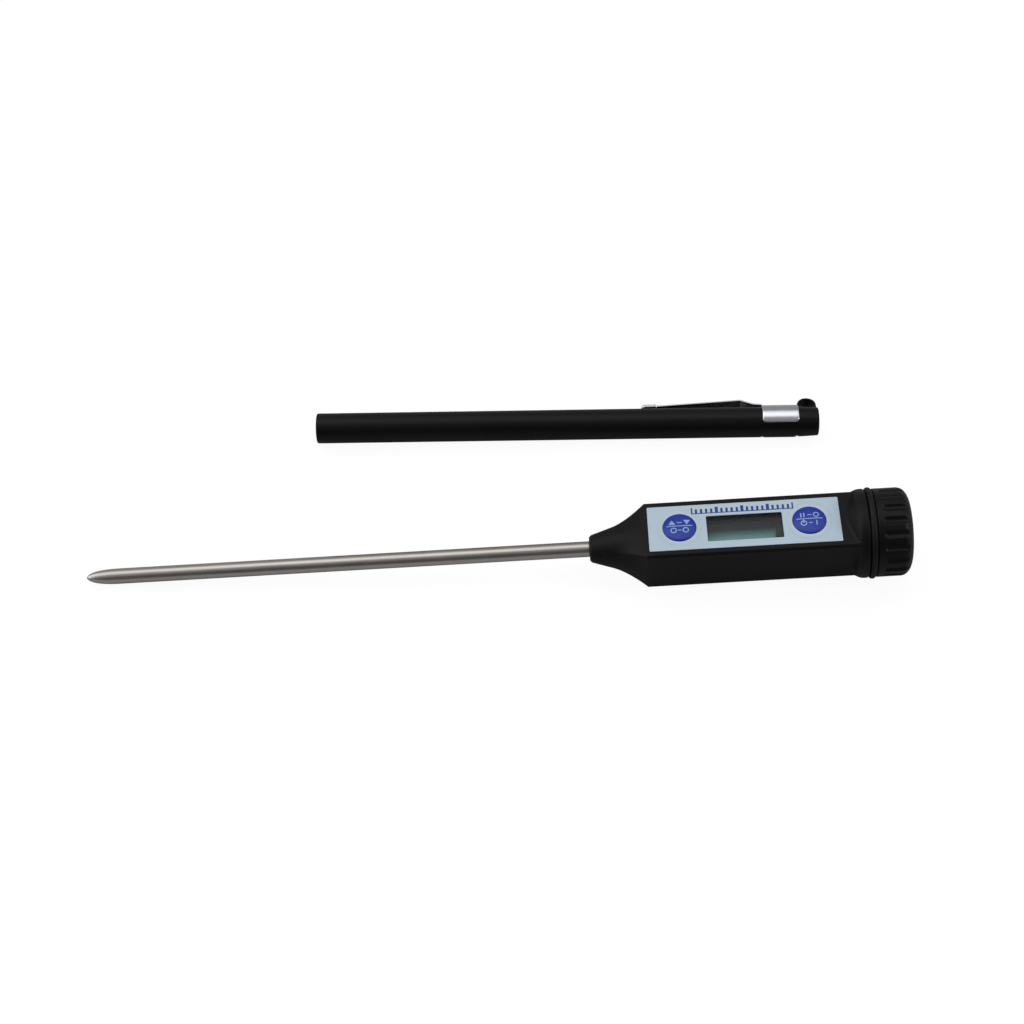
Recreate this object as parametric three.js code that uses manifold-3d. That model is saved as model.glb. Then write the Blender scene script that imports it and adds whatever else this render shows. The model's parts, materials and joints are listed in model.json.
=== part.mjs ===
// Digital probe thermometer for soil: a pointed steel stem on a black housing with a display,
// two buttons and a screw battery cap, and the clip-on sheath that covers the stem.
//
// Millimetres, +Z up. The thermometer's axis runs along +X, from the stem's tip to the battery
// cap, +Z points out of the label and +Y to the back edge. Inside the model x = 0 is where the
// stem leaves the nose and z = 0 is the axis; the last lines move the origin to the middle of
// the housing's flat back face.

import * as THREE from "three";
import { mergeVertices } from "three/addons/utils/BufferGeometryUtils.js";
import Module from "manifold-3d";

const wasm = await Module();
wasm.setup();

// ---------------------------------------------------------------- driving dimensions

// stem
const STEM_LENGTH = 120;
const STEM_RADIUS = 1.85;
const STEM_BORE = 1.5;
const STEM_INSET = 12;
const TIP_LENGTH = 8.5;

// housing, outside
const NOSE_RADIUS = 3.1;
const NOSE_TAPER = 0.318;
const FLARE_START = 5.5;
const BODY_START = 13.3;
const SHOULDER_START = 59.8;
const SHOULDER_LENGTH = 2.8;
const BODY_HALF_WIDTH = 7.85;
const BODY_TOP = 6.5;
const BODY_BACK = -6.25;
const BODY_CORNER = 0.9;
const COLLAR_RADIUS = 10.42;
const COLLAR_END = 64.65;
const RING_LAND_RADIUS = 9.15;
const RING_LAND_END = 66.3;
const NECK_RADIUS = 8.7;
const NECK_END = 71.65;

// housing, inside
const CAVITY_START = 14.8;
const CAVITY_HALF_WIDTH = 6.25;
const CAVITY_TOP = 4.85;
const CAVITY_FLOOR = -4.8;
const NECK_BORE = 7.2;
const NECK_BORE_START = 61.2;
const BUSH_BORE = 3.2;
const BUSH_BORE_START = 7;

// label and display
const LABEL_START = 13.9;
const LABEL_END = 58.4;
const LABEL_HALF_WIDTH = 6.3;
const LABEL_THICKNESS = 0.18;
const LABEL_RECESS = 0.2;
const WINDOW = { x0: 27.5, x1: 45.1, y0: -4.35, y1: 2.9 };
const LENS_THICKNESS = 0.75;
const LCD_FACE = 3.25;
const LCD_THICKNESS = 1.1;

// circuit board
const BOARD_TOP = 0.9;
const BOARD_THICKNESS = 1;
const BOARD_START = 15.6;
const BOARD_END = 61.1;
const BOARD_HALF_WIDTH = 6;

// buttons
const BUTTON_RADIUS = 3.86;
const BUTTON_X = { left: 21.2, right: 51.27 };
const BUTTON_CROWN = 7.1;
const BUTTON_TRAVEL = 0.35;

// battery and its contacts
const BATTERY_RADIUS = 5.8;
const BATTERY_START = 65.85;
const BATTERY_LENGTH = 5.4;
const HOLDER_START = 61.6;
const HOLDER_END = 71.25;
const HOLDER_RADIUS = 6.9;
const STRIP_SHEET = 0.3;
const STRIP_TOP = 6.6;

// seal ring and battery cap
const RING_SECTION = 0.75;
const RING_X = 65.5;
const RING_CENTRE_RADIUS = 9.97;
const CAP_START = 66.35;
const CAP_END = 74.75;
const CAP_RADIUS = 10.35;
const CAP_CROWN_DEPTH = 2.7;
const CAP_CROWN_WIDTH = 3.6;
const CAP_FLOOR = 73.15;
const CAP_BORE = 9.3;
const FLUTE_COUNT = 20;
const FLUTE_START = 68;
const FLUTE_TURN = THREE.MathUtils.degToRad(2.5);
const THREAD_PITCH = 2;
const THREAD_SECTION = 0.42;
const THREAD_TURNS = 2;
const THREAD_START = 67.2;

// sheath, measured from its closed end along its own axis, clip on its +Z side
const SHEATH_LENGTH = 124.7;
const SHEATH_RADIUS = 3.75;
const SHEATH_MOUTH_RADIUS = 3.79;
const SHEATH_BORE = 2.15;
const SHEATH_FLOOR = 3;
const BAND_START = SHEATH_LENGTH - 13.4;
const BAND_END = SHEATH_LENGTH - 4.8;
const BAND_THICKNESS = 0.4;
const BAND_WRAP = THREE.MathUtils.degToRad(140);
const CLIP_WIDTH = 3.5;
const CLIP_SHEET = 0.45;
const LOOP_RADIUS = 2.35;
const LOOP_HOLE = 1.9;
const LOOP_HEIGHT = 4.75;
const LOOP_HALF_LENGTH = 1.4;

// where the sheath lies beside the thermometer, on the same table
const SHEATH_X = -66.45;
const SHEATH_Y = 42.1;
const SHEATH_YAW = -0.0206;
const SHEATH_ROLL = THREE.MathUtils.degToRad(-100);

// how finely round surfaces are divided
const ROUND = 40;
const SMALL_ROUND = 20;

// ---------------------------------------------------------------- solids

// A closed three.js geometry as a solid, with its faces turned outward.
function solid(geometry) {
  const bare = geometry.index ? geometry.clone() : geometry;
  bare.deleteAttribute("normal");
  bare.deleteAttribute("uv");
  const merged = mergeVertices(bare, 1e-4);
  const vertProperties = new Float32Array(merged.attributes.position.array);
  const triVerts = new Uint32Array(withoutSlivers(merged.index.array));
  if (signedVolume(vertProperties, triVerts) < 0) {
    triVerts.reverse();
  }
  return new wasm.Manifold(new wasm.Mesh({ numProp: 3, vertProperties, triVerts }));
}

// Triangles whose corners were merged into one another are dropped.
function withoutSlivers(indices) {
  const kept = [];
  for (let i = 0; i < indices.length; i += 3) {
    const [a, b, c] = [indices[i], indices[i + 1], indices[i + 2]];
    if (a !== b && b !== c && c !== a) {
      kept.push(a, b, c);
    }
  }
  return kept;
}

function signedVolume(points, triangles) {
  const corner = (n) => new THREE.Vector3().fromArray(points, 3 * n);
  let volume = 0;
  for (let i = 0; i < triangles.length; i += 3) {
    const [a, b, c] = [corner(triangles[i]), corner(triangles[i + 1]), corner(triangles[i + 2])];
    volume += a.dot(b.cross(c)) / 6;
  }
  return volume;
}

function join(first, ...others) {
  return others.reduce((sum, other) => sum.add(other), first);
}

function cut(first, ...tools) {
  return tools.reduce((rest, tool) => rest.subtract(tool), first);
}

function geometryOf(manifold) {
  const { vertProperties, triVerts } = manifold.getMesh();
  const geometry = new THREE.BufferGeometry();
  geometry.setAttribute("position", new THREE.BufferAttribute(vertProperties, 3));
  geometry.setIndex(new THREE.BufferAttribute(triVerts, 1));
  geometry.computeVertexNormals();
  return geometry;
}

function block(x0, x1, y0, y1, z0, z1) {
  const box = new THREE.BoxGeometry(x1 - x0, y1 - y0, z1 - z0);
  box.translate((x0 + x1) / 2, (y0 + y1) / 2, (z0 + z1) / 2);
  return solid(box);
}

// A solid of revolution about the X axis, from [x, radius] points.
function turnedAboutX(points, segments = ROUND) {
  const profile = points.map(([x, radius]) => new THREE.Vector2(radius, x));
  return solid(new THREE.LatheGeometry(profile, segments).rotateZ(-Math.PI / 2));
}

// A solid of revolution about a vertical line, from [radius, z] points.
function turnedAboutZ(points, x, y, segments = ROUND) {
  const profile = points.map(([radius, z]) => new THREE.Vector2(radius, z));
  return solid(new THREE.LatheGeometry(profile, segments).rotateX(Math.PI / 2).translate(x, y, 0));
}

function rod(x0, x1, radius, segments = ROUND) {
  return turnedAboutX([[x0, 0], [x0, radius], [x1, radius], [x1, 0]], segments);
}

function pipe(x0, x1, inner, outer, segments = ROUND) {
  return turnedAboutX([[x0, inner], [x0, outer], [x1, outer], [x1, inner], [x0, inner]], segments);
}

function ring(x, centreRadius, sectionRadius, segments = ROUND) {
  const torus = new THREE.TorusGeometry(centreRadius, sectionRadius, 8, segments);
  return solid(torus.rotateY(Math.PI / 2).translate(x, 0, 0));
}

function roundedOutline({ x0, x1, y0, y1 }, corner, steps = 4) {
  const arcs = [
    [x1 - corner, y1 - corner, 0],
    [x0 + corner, y1 - corner, 1],
    [x0 + corner, y0 + corner, 2],
    [x1 - corner, y0 + corner, 3],
  ];
  const points = [];
  for (const [x, y, quarter] of arcs) {
    for (let i = 0; i <= steps; i += 1) {
      const angle = (quarter + i / steps) * Math.PI / 2;
      points.push(new THREE.Vector2(x + corner * Math.cos(angle), y + corner * Math.sin(angle)));
    }
  }
  return points;
}

// A flat plate with rounded corners, lying between two heights.
function plate(outline, corner, z0, z1) {
  const shape = new THREE.Shape(roundedOutline(outline, corner));
  const slab = new THREE.ExtrudeGeometry(shape, { depth: z1 - z0, bevelEnabled: false });
  return solid(slab.translate(0, 0, z0));
}

// A round wire along a curve.
function wire(curve, radius, steps, sides = 6) {
  const circle = new THREE.EllipseCurve(0, 0, radius, radius);
  const section = new THREE.Shape(circle.getPoints(sides).slice(1));
  return solid(new THREE.ExtrudeGeometry(section, { steps, bevelEnabled: false, extrudePath: curve }));
}

class Helix extends THREE.Curve {
  constructor(start, pitch, turns, radiusAt) {
    super();
    Object.assign(this, { start, pitch, turns, radiusAt });
  }

  getPoint(t, target = new THREE.Vector3()) {
    const angle = t * this.turns * 2 * Math.PI;
    const radius = this.radiusAt(t);
    const x = this.start + t * this.turns * this.pitch;
    return target.set(x, radius * Math.cos(angle), radius * Math.sin(angle));
  }
}

function grow(outline, margin) {
  const { x0, x1, y0, y1 } = outline;
  return { x0: x0 - margin, x1: x1 + margin, y0: y0 - margin, y1: y1 + margin };
}

// ---------------------------------------------------------------- stem and sensor

// Radius of the blunt tip at a share of its length: full at the point, then easing into the tube.
function tipRadius(share) {
  return STEM_RADIUS * (1 - (1 - share) ** 3) ** 0.7;
}

function stemTube() {
  const profile = [[-STEM_LENGTH, 0]];
  for (const share of [0.01, 0.04, 0.1, 0.2, 0.35, 0.6, 1]) {
    profile.push([-STEM_LENGTH + share * TIP_LENGTH, tipRadius(share)]);
  }
  const boreEnd = -STEM_LENGTH + TIP_LENGTH;
  profile.push([STEM_INSET, STEM_RADIUS], [STEM_INSET, STEM_BORE]);
  profile.push([boreEnd + 1.5, STEM_BORE], [boreEnd, 0]);
  return turnedAboutX(profile, 24);
}

function thermistorBead() {
  const bead = new THREE.SphereGeometry(1, 12, 8).scale(1.5, 1, 1);
  return solid(bead.translate(-STEM_LENGTH + TIP_LENGTH + 3.4, 0, 0));
}

// One of the two leads from the bead, through the stem and up onto the board.
function sensorLead(side) {
  const radius = 0.25;
  const start = -STEM_LENGTH + TIP_LENGTH + 5;
  const straight = rod(start, STEM_INSET + 1, radius, 8).translate([0, side * 0.5, 0]);
  const rise = new THREE.CatmullRomCurve3([
    new THREE.Vector3(STEM_INSET + 0.6, side * 0.5, 0),
    new THREE.Vector3(STEM_INSET + 1.4, side * 0.6, 0.3),
    new THREE.Vector3(STEM_INSET + 2.8, side * 1.1, BOARD_TOP + 0.5),
    new THREE.Vector3(BOARD_START + 2, side * 1.8, BOARD_TOP + 0.32),
  ]);
  return join(straight, wire(rise, radius, 12));
}

function stemBush() {
  return pipe(8.45, STEM_INSET, STEM_RADIUS + 0.05, BUSH_BORE - 0.08, 32);
}

function noseSeal() {
  return ring(BUSH_BORE_START + 0.72, 2.53, 0.6, 20);
}

// ---------------------------------------------------------------- housing

// Points around the rounded rectangle of the body, from its front lower corner.
function bodySection() {
  const bounds = { x0: -BODY_HALF_WIDTH, x1: BODY_HALF_WIDTH, y0: BODY_BACK, y1: BODY_TOP };
  const corners = roundedOutline(bounds, BODY_CORNER);
  const points = [];
  corners.forEach((point, i) => {
    const next = corners[(i + 1) % corners.length];
    const pieces = point.distanceTo(next) > 2 * BODY_CORNER ? 8 : 1;
    for (let k = 0; k < pieces; k += 1) {
      points.push(point.clone().lerp(next, k / pieces));
    }
  });
  return points;
}

// The nose is a cone that flares, direction by direction, from a circle to the body's section.
function flaredSection(x) {
  const cone = NOSE_RADIUS + NOSE_TAPER * x;
  const coneAtBody = NOSE_RADIUS + NOSE_TAPER * BODY_START;
  const share = Math.max(0, (x - FLARE_START) / (BODY_START - FLARE_START)) ** 1.7;
  return bodySection().map((point) => {
    const radius = cone + (point.length() - coneAtBody) * share;
    return point.clone().setLength(radius);
  });
}

// A closed skin through sections that all have the same number of points.
function loft(sections) {
  const count = sections[0].points.length;
  const last = sections.length - 1;
  const positions = [];
  for (const { x, points } of sections) {
    points.forEach((point) => positions.push(x, point.x, point.y));
  }
  positions.push(sections[0].x, 0, 0, sections[last].x, 0, 0);
  const indices = [];
  for (let i = 0; i < count; i += 1) {
    const next = (i + 1) % count;
    for (let row = 0; row < last; row += 1) {
      const [a, b] = [row * count + i, row * count + next];
      indices.push(a, b, a + count, b, b + count, a + count);
    }
    indices.push(sections.length * count, next, i);
    indices.push(sections.length * count + 1, last * count + i, last * count + next);
  }
  const geometry = new THREE.BufferGeometry();
  geometry.setAttribute("position", new THREE.Float32BufferAttribute(positions, 3));
  geometry.setIndex(indices);
  return solid(geometry);
}

function noseAndBody() {
  const chamfer = flaredSection(0).map((point) => point.clone().multiplyScalar(0.9));
  const sections = [{ x: 0, points: chamfer }];
  for (const x of [0.5, 3, FLARE_START, 7.5, 9, 10.3, 11.4, 12.4, BODY_START]) {
    sections.push({ x, points: flaredSection(x) });
  }
  sections.push({ x: SHOULDER_START + SHOULDER_LENGTH - 0.4, points: bodySection() });
  return loft(sections);
}

function collarAndNeck() {
  return turnedAboutX([
    [BODY_START + 10, 0],
    [BODY_START + 10, 5.8],
    [SHOULDER_START, 5.8],
    [SHOULDER_START + 1, 7.5],
    [SHOULDER_START + 2, 9.2],
    [SHOULDER_START + SHOULDER_LENGTH, 10.05],
    [COLLAR_END - 1.3, COLLAR_RADIUS - 0.08],
    [COLLAR_END - 0.6, COLLAR_RADIUS],
    [COLLAR_END - 0.15, COLLAR_RADIUS - 0.12],
    [COLLAR_END, COLLAR_RADIUS - 0.4],
    [COLLAR_END, RING_LAND_RADIUS],
    [RING_LAND_END, RING_LAND_RADIUS],
    [RING_LAND_END, NECK_RADIUS],
    [NECK_END - 0.4, NECK_RADIUS],
    [NECK_END, NECK_RADIUS - 0.4],
    [NECK_END, 0],
  ]);
}

// A rounded thread ridge; the cap's ridge lies half a pitch behind the neck's.
function threadRidge(start, radius) {
  const path = new Helix(start, THREAD_PITCH, THREAD_TURNS, () => radius);
  return wire(path, THREAD_SECTION, 16 * THREAD_TURNS);
}

function housingCavity() {
  const widest = { x0: -CAVITY_HALF_WIDTH, x1: CAVITY_HALF_WIDTH, y0: CAVITY_FLOOR, y1: CAVITY_TOP };
  const outline = roundedOutline(widest, 0.5);
  const room = loft([
    { x: CAVITY_START, points: outline },
    { x: NECK_BORE_START + 1, points: outline },
  ]);
  const neck = rod(NECK_BORE_START, NECK_END + 1, NECK_BORE);
  const bush = rod(BUSH_BORE_START, CAVITY_START + 1, BUSH_BORE, 32);
  const stem = rod(-1, CAVITY_START, STEM_RADIUS + 0.05, 24);
  return join(room, neck, bush, stem);
}

// Two ledges along the side walls carry the circuit board.
function boardRails() {
  const top = BOARD_TOP - BOARD_THICKNESS - 0.06;
  const rail = (y0, y1) => block(CAVITY_START - 0.5, BOARD_END - 1, y0, y1, top - 1, top);
  const inner = BOARD_HALF_WIDTH - 0.8;
  const outer = CAVITY_HALF_WIDTH + 0.4;
  return join(rail(inner, outer), rail(-outer, -inner));
}

function housingOpenings() {
  const label = { x0: LABEL_START, x1: LABEL_END, y0: -LABEL_HALF_WIDTH, y1: LABEL_HALF_WIDTH };
  const recessFloor = BODY_TOP - LABEL_RECESS;
  const tools = [
    plate(grow(label, 0.06), 0.55, recessFloor, BODY_TOP + 1),
    plate(WINDOW, 0.4, CAVITY_TOP - 1, BODY_TOP + 1),
    plate(grow(WINDOW, 0.75), 0.8, recessFloor - LENS_THICKNESS - 0.06, BODY_TOP + 1),
  ];
  for (const x of Object.values(BUTTON_X)) {
    tools.push(verticalRod(x, BUTTON_RADIUS + 0.14, CAVITY_TOP - 1, BODY_TOP + 1));
  }
  return tools;
}

function verticalRod(x, radius, z0, z1, segments = 32) {
  return turnedAboutZ([[0, z0], [radius, z0], [radius, z1], [0, z1]], x, 0, segments);
}

function housing() {
  const outside = join(noseAndBody(), collarAndNeck(), threadRidge(THREAD_START, NECK_RADIUS));
  return cut(join(cut(outside, housingCavity()), boardRails()), ...housingOpenings());
}

// ---------------------------------------------------------------- label and display

function labelFilm() {
  const label = { x0: LABEL_START, x1: LABEL_END, y0: -LABEL_HALF_WIDTH, y1: LABEL_HALF_WIDTH };
  const bottom = BODY_TOP - LABEL_RECESS;
  const top = bottom + LABEL_THICKNESS;
  const keyHole = (x) => verticalRod(x, BUTTON_RADIUS + 0.16, bottom - 1, top + 1);
  const film = plate(label, 0.5, bottom, top);
  const windowHole = plate(WINDOW, 0.4, bottom - 1, top + 1);
  return cut(film, windowHole, ...Object.values(BUTTON_X).map(keyHole));
}

function displayWindow() {
  const top = BODY_TOP - LABEL_RECESS - 0.03;
  return plate(grow(WINDOW, 0.7), 0.75, top - LENS_THICKNESS, top);
}

// Two glass plates; the rear one is wider and carries the contact ledge.
function lcdPanel() {
  const middle = LCD_FACE - LCD_THICKNESS / 2;
  const front = block(WINDOW.x0 - 1.1, WINDOW.x1 + 1.1, -4.9, 3.4, middle, LCD_FACE);
  const rear = block(WINDOW.x0 - 1.1, WINDOW.x1 + 1.1, -4.9, 5.3, LCD_FACE - LCD_THICKNESS, middle);
  return join(front, rear);
}

function lcdFrame() {
  const outside = { x0: WINDOW.x0 - 1.6, x1: WINDOW.x1 + 1.6, y0: -5.9, y1: 5.9 };
  const body = plate(outside, 0.4, BOARD_TOP + 0.05, CAVITY_TOP - 0.1);
  const pocket = block(WINDOW.x0 - 1.25, WINDOW.x1 + 1.25, -5.05, 5.45, BOARD_TOP - 1, LCD_FACE + 0.08);
  return cut(body, pocket, plate(WINDOW, 0.4, BOARD_TOP, CAVITY_TOP + 1));
}

// The rubber strip that joins the glass ledge to the board.
function contactStrip() {
  const top = LCD_FACE - LCD_THICKNESS - 0.04;
  return block(WINDOW.x0 - 0.6, WINDOW.x1 + 0.6, 3.6, 5.2, BOARD_TOP + 0.04, top);
}

// ---------------------------------------------------------------- circuit board

function circuitBoard() {
  const outline = { x0: BOARD_START, x1: BOARD_END, y0: -BOARD_HALF_WIDTH, y1: BOARD_HALF_WIDTH };
  return plate(outline, 0.5, BOARD_TOP - BOARD_THICKNESS, BOARD_TOP);
}

function chipBlob() {
  const base = BOARD_TOP - BOARD_THICKNESS - 0.04;
  const dome = [[0, base], [3.2, base], [2.9, base - 0.5], [2, base - 0.95], [0, base - 1.2]];
  return turnedAboutZ(dome, 36, 0, 28);
}

function crystal() {
  const radius = 1.1;
  const level = BOARD_TOP - BOARD_THICKNESS - radius - 0.05;
  return rod(44.5, 51, radius, 16).translate([0, -2.5, level]);
}

// A small ceramic part soldered under the board.
function chipPart(x, y) {
  const top = BOARD_TOP - BOARD_THICKNESS - 0.04;
  return block(x - 1, x + 1, y - 0.6, y + 0.6, top - 0.6, top);
}

function switchBody(x) {
  const half = 2.6;
  const body = block(x - half, x + half, -half, half, BOARD_TOP + 0.05, BOARD_TOP + 1.6);
  return cut(body, verticalRod(x, 1.25, BOARD_TOP + 0.3, BOARD_TOP + 2, SMALL_ROUND));
}

function switchPlunger(x) {
  return verticalRod(x, 1.05, BOARD_TOP + 0.3 + BUTTON_TRAVEL + 0.1, BOARD_TOP + 2.05, SMALL_ROUND);
}

// ---------------------------------------------------------------- buttons

// A domed key with a flange that keeps it under the housing's top wall, and a post below.
function button(x) {
  const edge = BODY_TOP + 0.2;
  const flangeTop = CAVITY_TOP - 0.3;
  return turnedAboutZ([
    [0, BOARD_TOP + 2.1],
    [1.3, BOARD_TOP + 2.1],
    [1.3, flangeTop - 0.5],
    [BUTTON_RADIUS + 0.5, flangeTop - 0.5],
    [BUTTON_RADIUS + 0.5, flangeTop],
    [BUTTON_RADIUS, flangeTop],
    [BUTTON_RADIUS, edge - 0.15],
    [BUTTON_RADIUS - 0.25, edge + 0.08],
    [BUTTON_RADIUS * 0.66, edge + (BUTTON_CROWN - edge) * 0.62],
    [BUTTON_RADIUS * 0.33, edge + (BUTTON_CROWN - edge) * 0.9],
    [0, BUTTON_CROWN],
  ], x, 0, 32);
}

// ---------------------------------------------------------------- battery compartment

function batteryHolder() {
  const cup = rod(HOLDER_START, HOLDER_END, HOLDER_RADIUS, 32);
  const room = rod(HOLDER_START + 1, HOLDER_END + 1, BATTERY_RADIUS + 0.12, 32);
  const slotFloor = STRIP_TOP - STRIP_SHEET - 0.15;
  const stripSlot = block(HOLDER_START - 1, HOLDER_END + 1, -1.7, 1.7, slotFloor, HOLDER_RADIUS + 1);
  const springHole = rod(HOLDER_START - 1, HOLDER_START + 2, 1.2, 16);
  return cut(cup, room, stripSlot, springHole);
}

// A button cell: the can, and the smaller cover that faces the spring.
function batteryCell() {
  const end = BATTERY_START + BATTERY_LENGTH;
  return turnedAboutX([
    [BATTERY_START, 0],
    [BATTERY_START, 4.6],
    [BATTERY_START + 0.9, 4.9],
    [BATTERY_START + 0.9, BATTERY_RADIUS - 0.2],
    [BATTERY_START + 1.1, BATTERY_RADIUS],
    [end - 0.3, BATTERY_RADIUS],
    [end, BATTERY_RADIUS - 0.3],
    [end, 0],
  ], 32);
}

// A conical coil with a straight tail that reaches the board.
function negativeSpring() {
  const wireRadius = 0.25;
  const start = HOLDER_START + 1.4;
  const span = BATTERY_START - wireRadius - 0.1 - start;
  const turns = 3;
  const radiusAt = (t) => 0.9 + 3 * t;
  const coil = wire(new Helix(start, span / turns, turns, radiusAt), wireRadius, 42);
  const tailLevel = BOARD_TOP + wireRadius + 0.07;
  const tail = new THREE.CatmullRomCurve3([
    new THREE.Vector3(start + 0.25, 0.9, 0),
    new THREE.Vector3(start - 0.5, 0.75, 0.15),
    new THREE.Vector3(HOLDER_START + 0.4, 0.5, 0.6),
    new THREE.Vector3(BOARD_END + 0.2, 0.4, tailLevel),
    new THREE.Vector3(BOARD_END - 2, 0.4, tailLevel),
  ]);
  return join(coil, wire(tail, wireRadius, 10));
}

// A bent strip from the board, over the holder, to the cap's contact plate.
function positiveStrip() {
  const near = BOARD_END + 0.1;
  const far = near + STRIP_SHEET;
  const bottom = BOARD_TOP + 0.05;
  const [legInner, legOuter] = [3, 4.6];
  const [bridgeBottom, bridgeTop] = [4.4, 5.1];
  const halfWidth = 1.5;
  const foot = block(near - 4.4, far, legInner, legOuter, bottom, bottom + STRIP_SHEET);
  const leg = block(near, far, legInner, legOuter, bottom, bridgeTop);
  const bridge = block(near, far, -halfWidth, legOuter, bridgeBottom, bridgeTop);
  const neck = block(near, far, -halfWidth, halfWidth, bridgeBottom, STRIP_TOP);
  const topSheet = STRIP_TOP - STRIP_SHEET;
  const top = block(near, HOLDER_END + 0.5, -halfWidth, halfWidth, topSheet, STRIP_TOP);
  return join(foot, leg, bridge, neck, top);
}

// ---------------------------------------------------------------- seal ring and cap

function sealRing() {
  return ring(RING_X, RING_CENTRE_RADIUS, RING_SECTION, ROUND);
}

function batteryCap() {
  const profile = [[CAP_START, CAP_BORE]];
  profile.push([CAP_START, CAP_RADIUS - 0.35], [CAP_START + 0.3, CAP_RADIUS]);
  const crownSteps = 5;
  for (let i = 0; i <= crownSteps; i += 1) {
    const angle = i / crownSteps * Math.PI / 2;
    const radius = CAP_RADIUS - CAP_CROWN_WIDTH * (1 - Math.cos(angle));
    profile.push([CAP_END - CAP_CROWN_DEPTH * (1 - Math.sin(angle)), radius]);
  }
  profile.push([CAP_END, 0], [CAP_FLOOR - 0.6, 0], [CAP_FLOOR - 0.6, 5], [CAP_FLOOR, 5.3]);
  profile.push([CAP_FLOOR, 6.95], [CAP_FLOOR - 1.25, 6.95], [CAP_FLOOR - 1.25, 7.7], [CAP_FLOOR, 7.7]);
  profile.push([CAP_FLOOR, CAP_BORE], [CAP_START, CAP_BORE]);
  const shell = join(turnedAboutX(profile), capThread());
  return cut(shell, ...capFlutes());
}

function capThread() {
  return threadRidge(THREAD_START + THREAD_PITCH / 2, CAP_BORE);
}

// Finger grooves with a rounded inner end, running out over the cap's end.
function capFlutes() {
  const radius = 1;
  const centre = CAP_RADIUS + 0.56;
  const reach = 12;
  return Array.from({ length: FLUTE_COUNT }, (_, i) => {
    const angle = FLUTE_TURN + i * 2 * Math.PI / FLUTE_COUNT;
    const groove = new THREE.CapsuleGeometry(radius, reach, 3, 8).rotateZ(Math.PI / 2);
    return solid(groove.translate(FLUTE_START + radius + reach / 2, 0, centre).rotateX(angle));
  });
}

// The plate that joins the cell's end to the positive strip; it moves out with the cap.
function capContact() {
  const back = CAP_FLOOR - 0.95;
  return turnedAboutX([
    [BATTERY_START + BATTERY_LENGTH + 0.05, 0],
    [BATTERY_START + BATTERY_LENGTH + 0.05, 1.6],
    [back - 0.3, 2.3],
    [back - 0.3, 6.75],
    [back, 6.75],
    [back, 0],
  ], 32);
}

// ---------------------------------------------------------------- sheath and clip

function sheathTube() {
  const body = turnedAboutX([
    [0, 0],
    [0, SHEATH_RADIUS - 0.45],
    [0.13, SHEATH_RADIUS - 0.13],
    [0.45, SHEATH_RADIUS],
    [SHEATH_LENGTH - 0.3, SHEATH_MOUTH_RADIUS],
    [SHEATH_LENGTH, SHEATH_MOUTH_RADIUS - 0.3],
    [SHEATH_LENGTH, 0],
  ], 32);
  const bore = turnedAboutX([
    [SHEATH_FLOOR, 0],
    [SHEATH_FLOOR + 2, SHEATH_BORE],
    [SHEATH_LENGTH - 0.4, SHEATH_BORE],
    [SHEATH_LENGTH + 0.1, SHEATH_BORE + 0.25],
    [SHEATH_LENGTH + 0.1, 0],
  ], 16);
  const bandSeat = pipe(BAND_START - 0.3, BAND_END + 0.2, seatRadius(), SHEATH_RADIUS + 1, 32);
  return cut(join(body, handleLoop()), bore, bandSeat, handleHole());
}

function seatRadius() {
  return SHEATH_MOUTH_RADIUS - BAND_THICKNESS - 0.3;
}

// The lug by the mouth; the stem pushed through it makes the sheath a cross handle.
function handleLoop() {
  const middle = SHEATH_LENGTH - LOOP_RADIUS - 0.1;
  const lug = acrossRod(middle, LOOP_HEIGHT, LOOP_RADIUS, LOOP_HALF_LENGTH, 32);
  const foot = block(
    middle - LOOP_RADIUS, middle + LOOP_RADIUS, -LOOP_HALF_LENGTH, LOOP_HALF_LENGTH, 2.5, LOOP_HEIGHT);
  return join(lug, foot);
}

function handleHole() {
  return acrossRod(SHEATH_LENGTH - LOOP_RADIUS - 0.1, LOOP_HEIGHT, LOOP_HOLE, 8, 24);
}

function acrossRod(x, z, radius, halfLength, segments) {
  const cylinder = new THREE.CylinderGeometry(radius, radius, 2 * halfLength, segments);
  return solid(cylinder.translate(x, 0, z));
}

// The open band that grips the sheath, its gap away from the clip.
function clipBand() {
  const outer = SHEATH_MOUTH_RADIUS;
  const inner = outer - BAND_THICKNESS;
  const steps = 20;
  const arc = (radius, from, to) => Array.from({ length: steps + 1 }, (_, i) => {
    const angle = from + (to - from) * i / steps;
    return new THREE.Vector2(radius * Math.cos(angle), radius * Math.sin(angle));
  });
  const outside = arc(outer, -BAND_WRAP, BAND_WRAP);
  const inside = arc(inner, BAND_WRAP, -BAND_WRAP);
  const shape = new THREE.Shape([...outside, ...inside]);
  const depth = BAND_END - BAND_START;
  const sleeve = new THREE.ExtrudeGeometry(shape, { depth, bevelEnabled: false });
  // the outline's own x axis becomes +Z and the extrusion runs along X
  const basis = new THREE.Matrix4().makeBasis(
    new THREE.Vector3(0, 0, 1), new THREE.Vector3(0, 1, 0), new THREE.Vector3(-1, 0, 0));
  return solid(sleeve.applyMatrix4(basis).translate(BAND_END, 0, 0));
}

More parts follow.
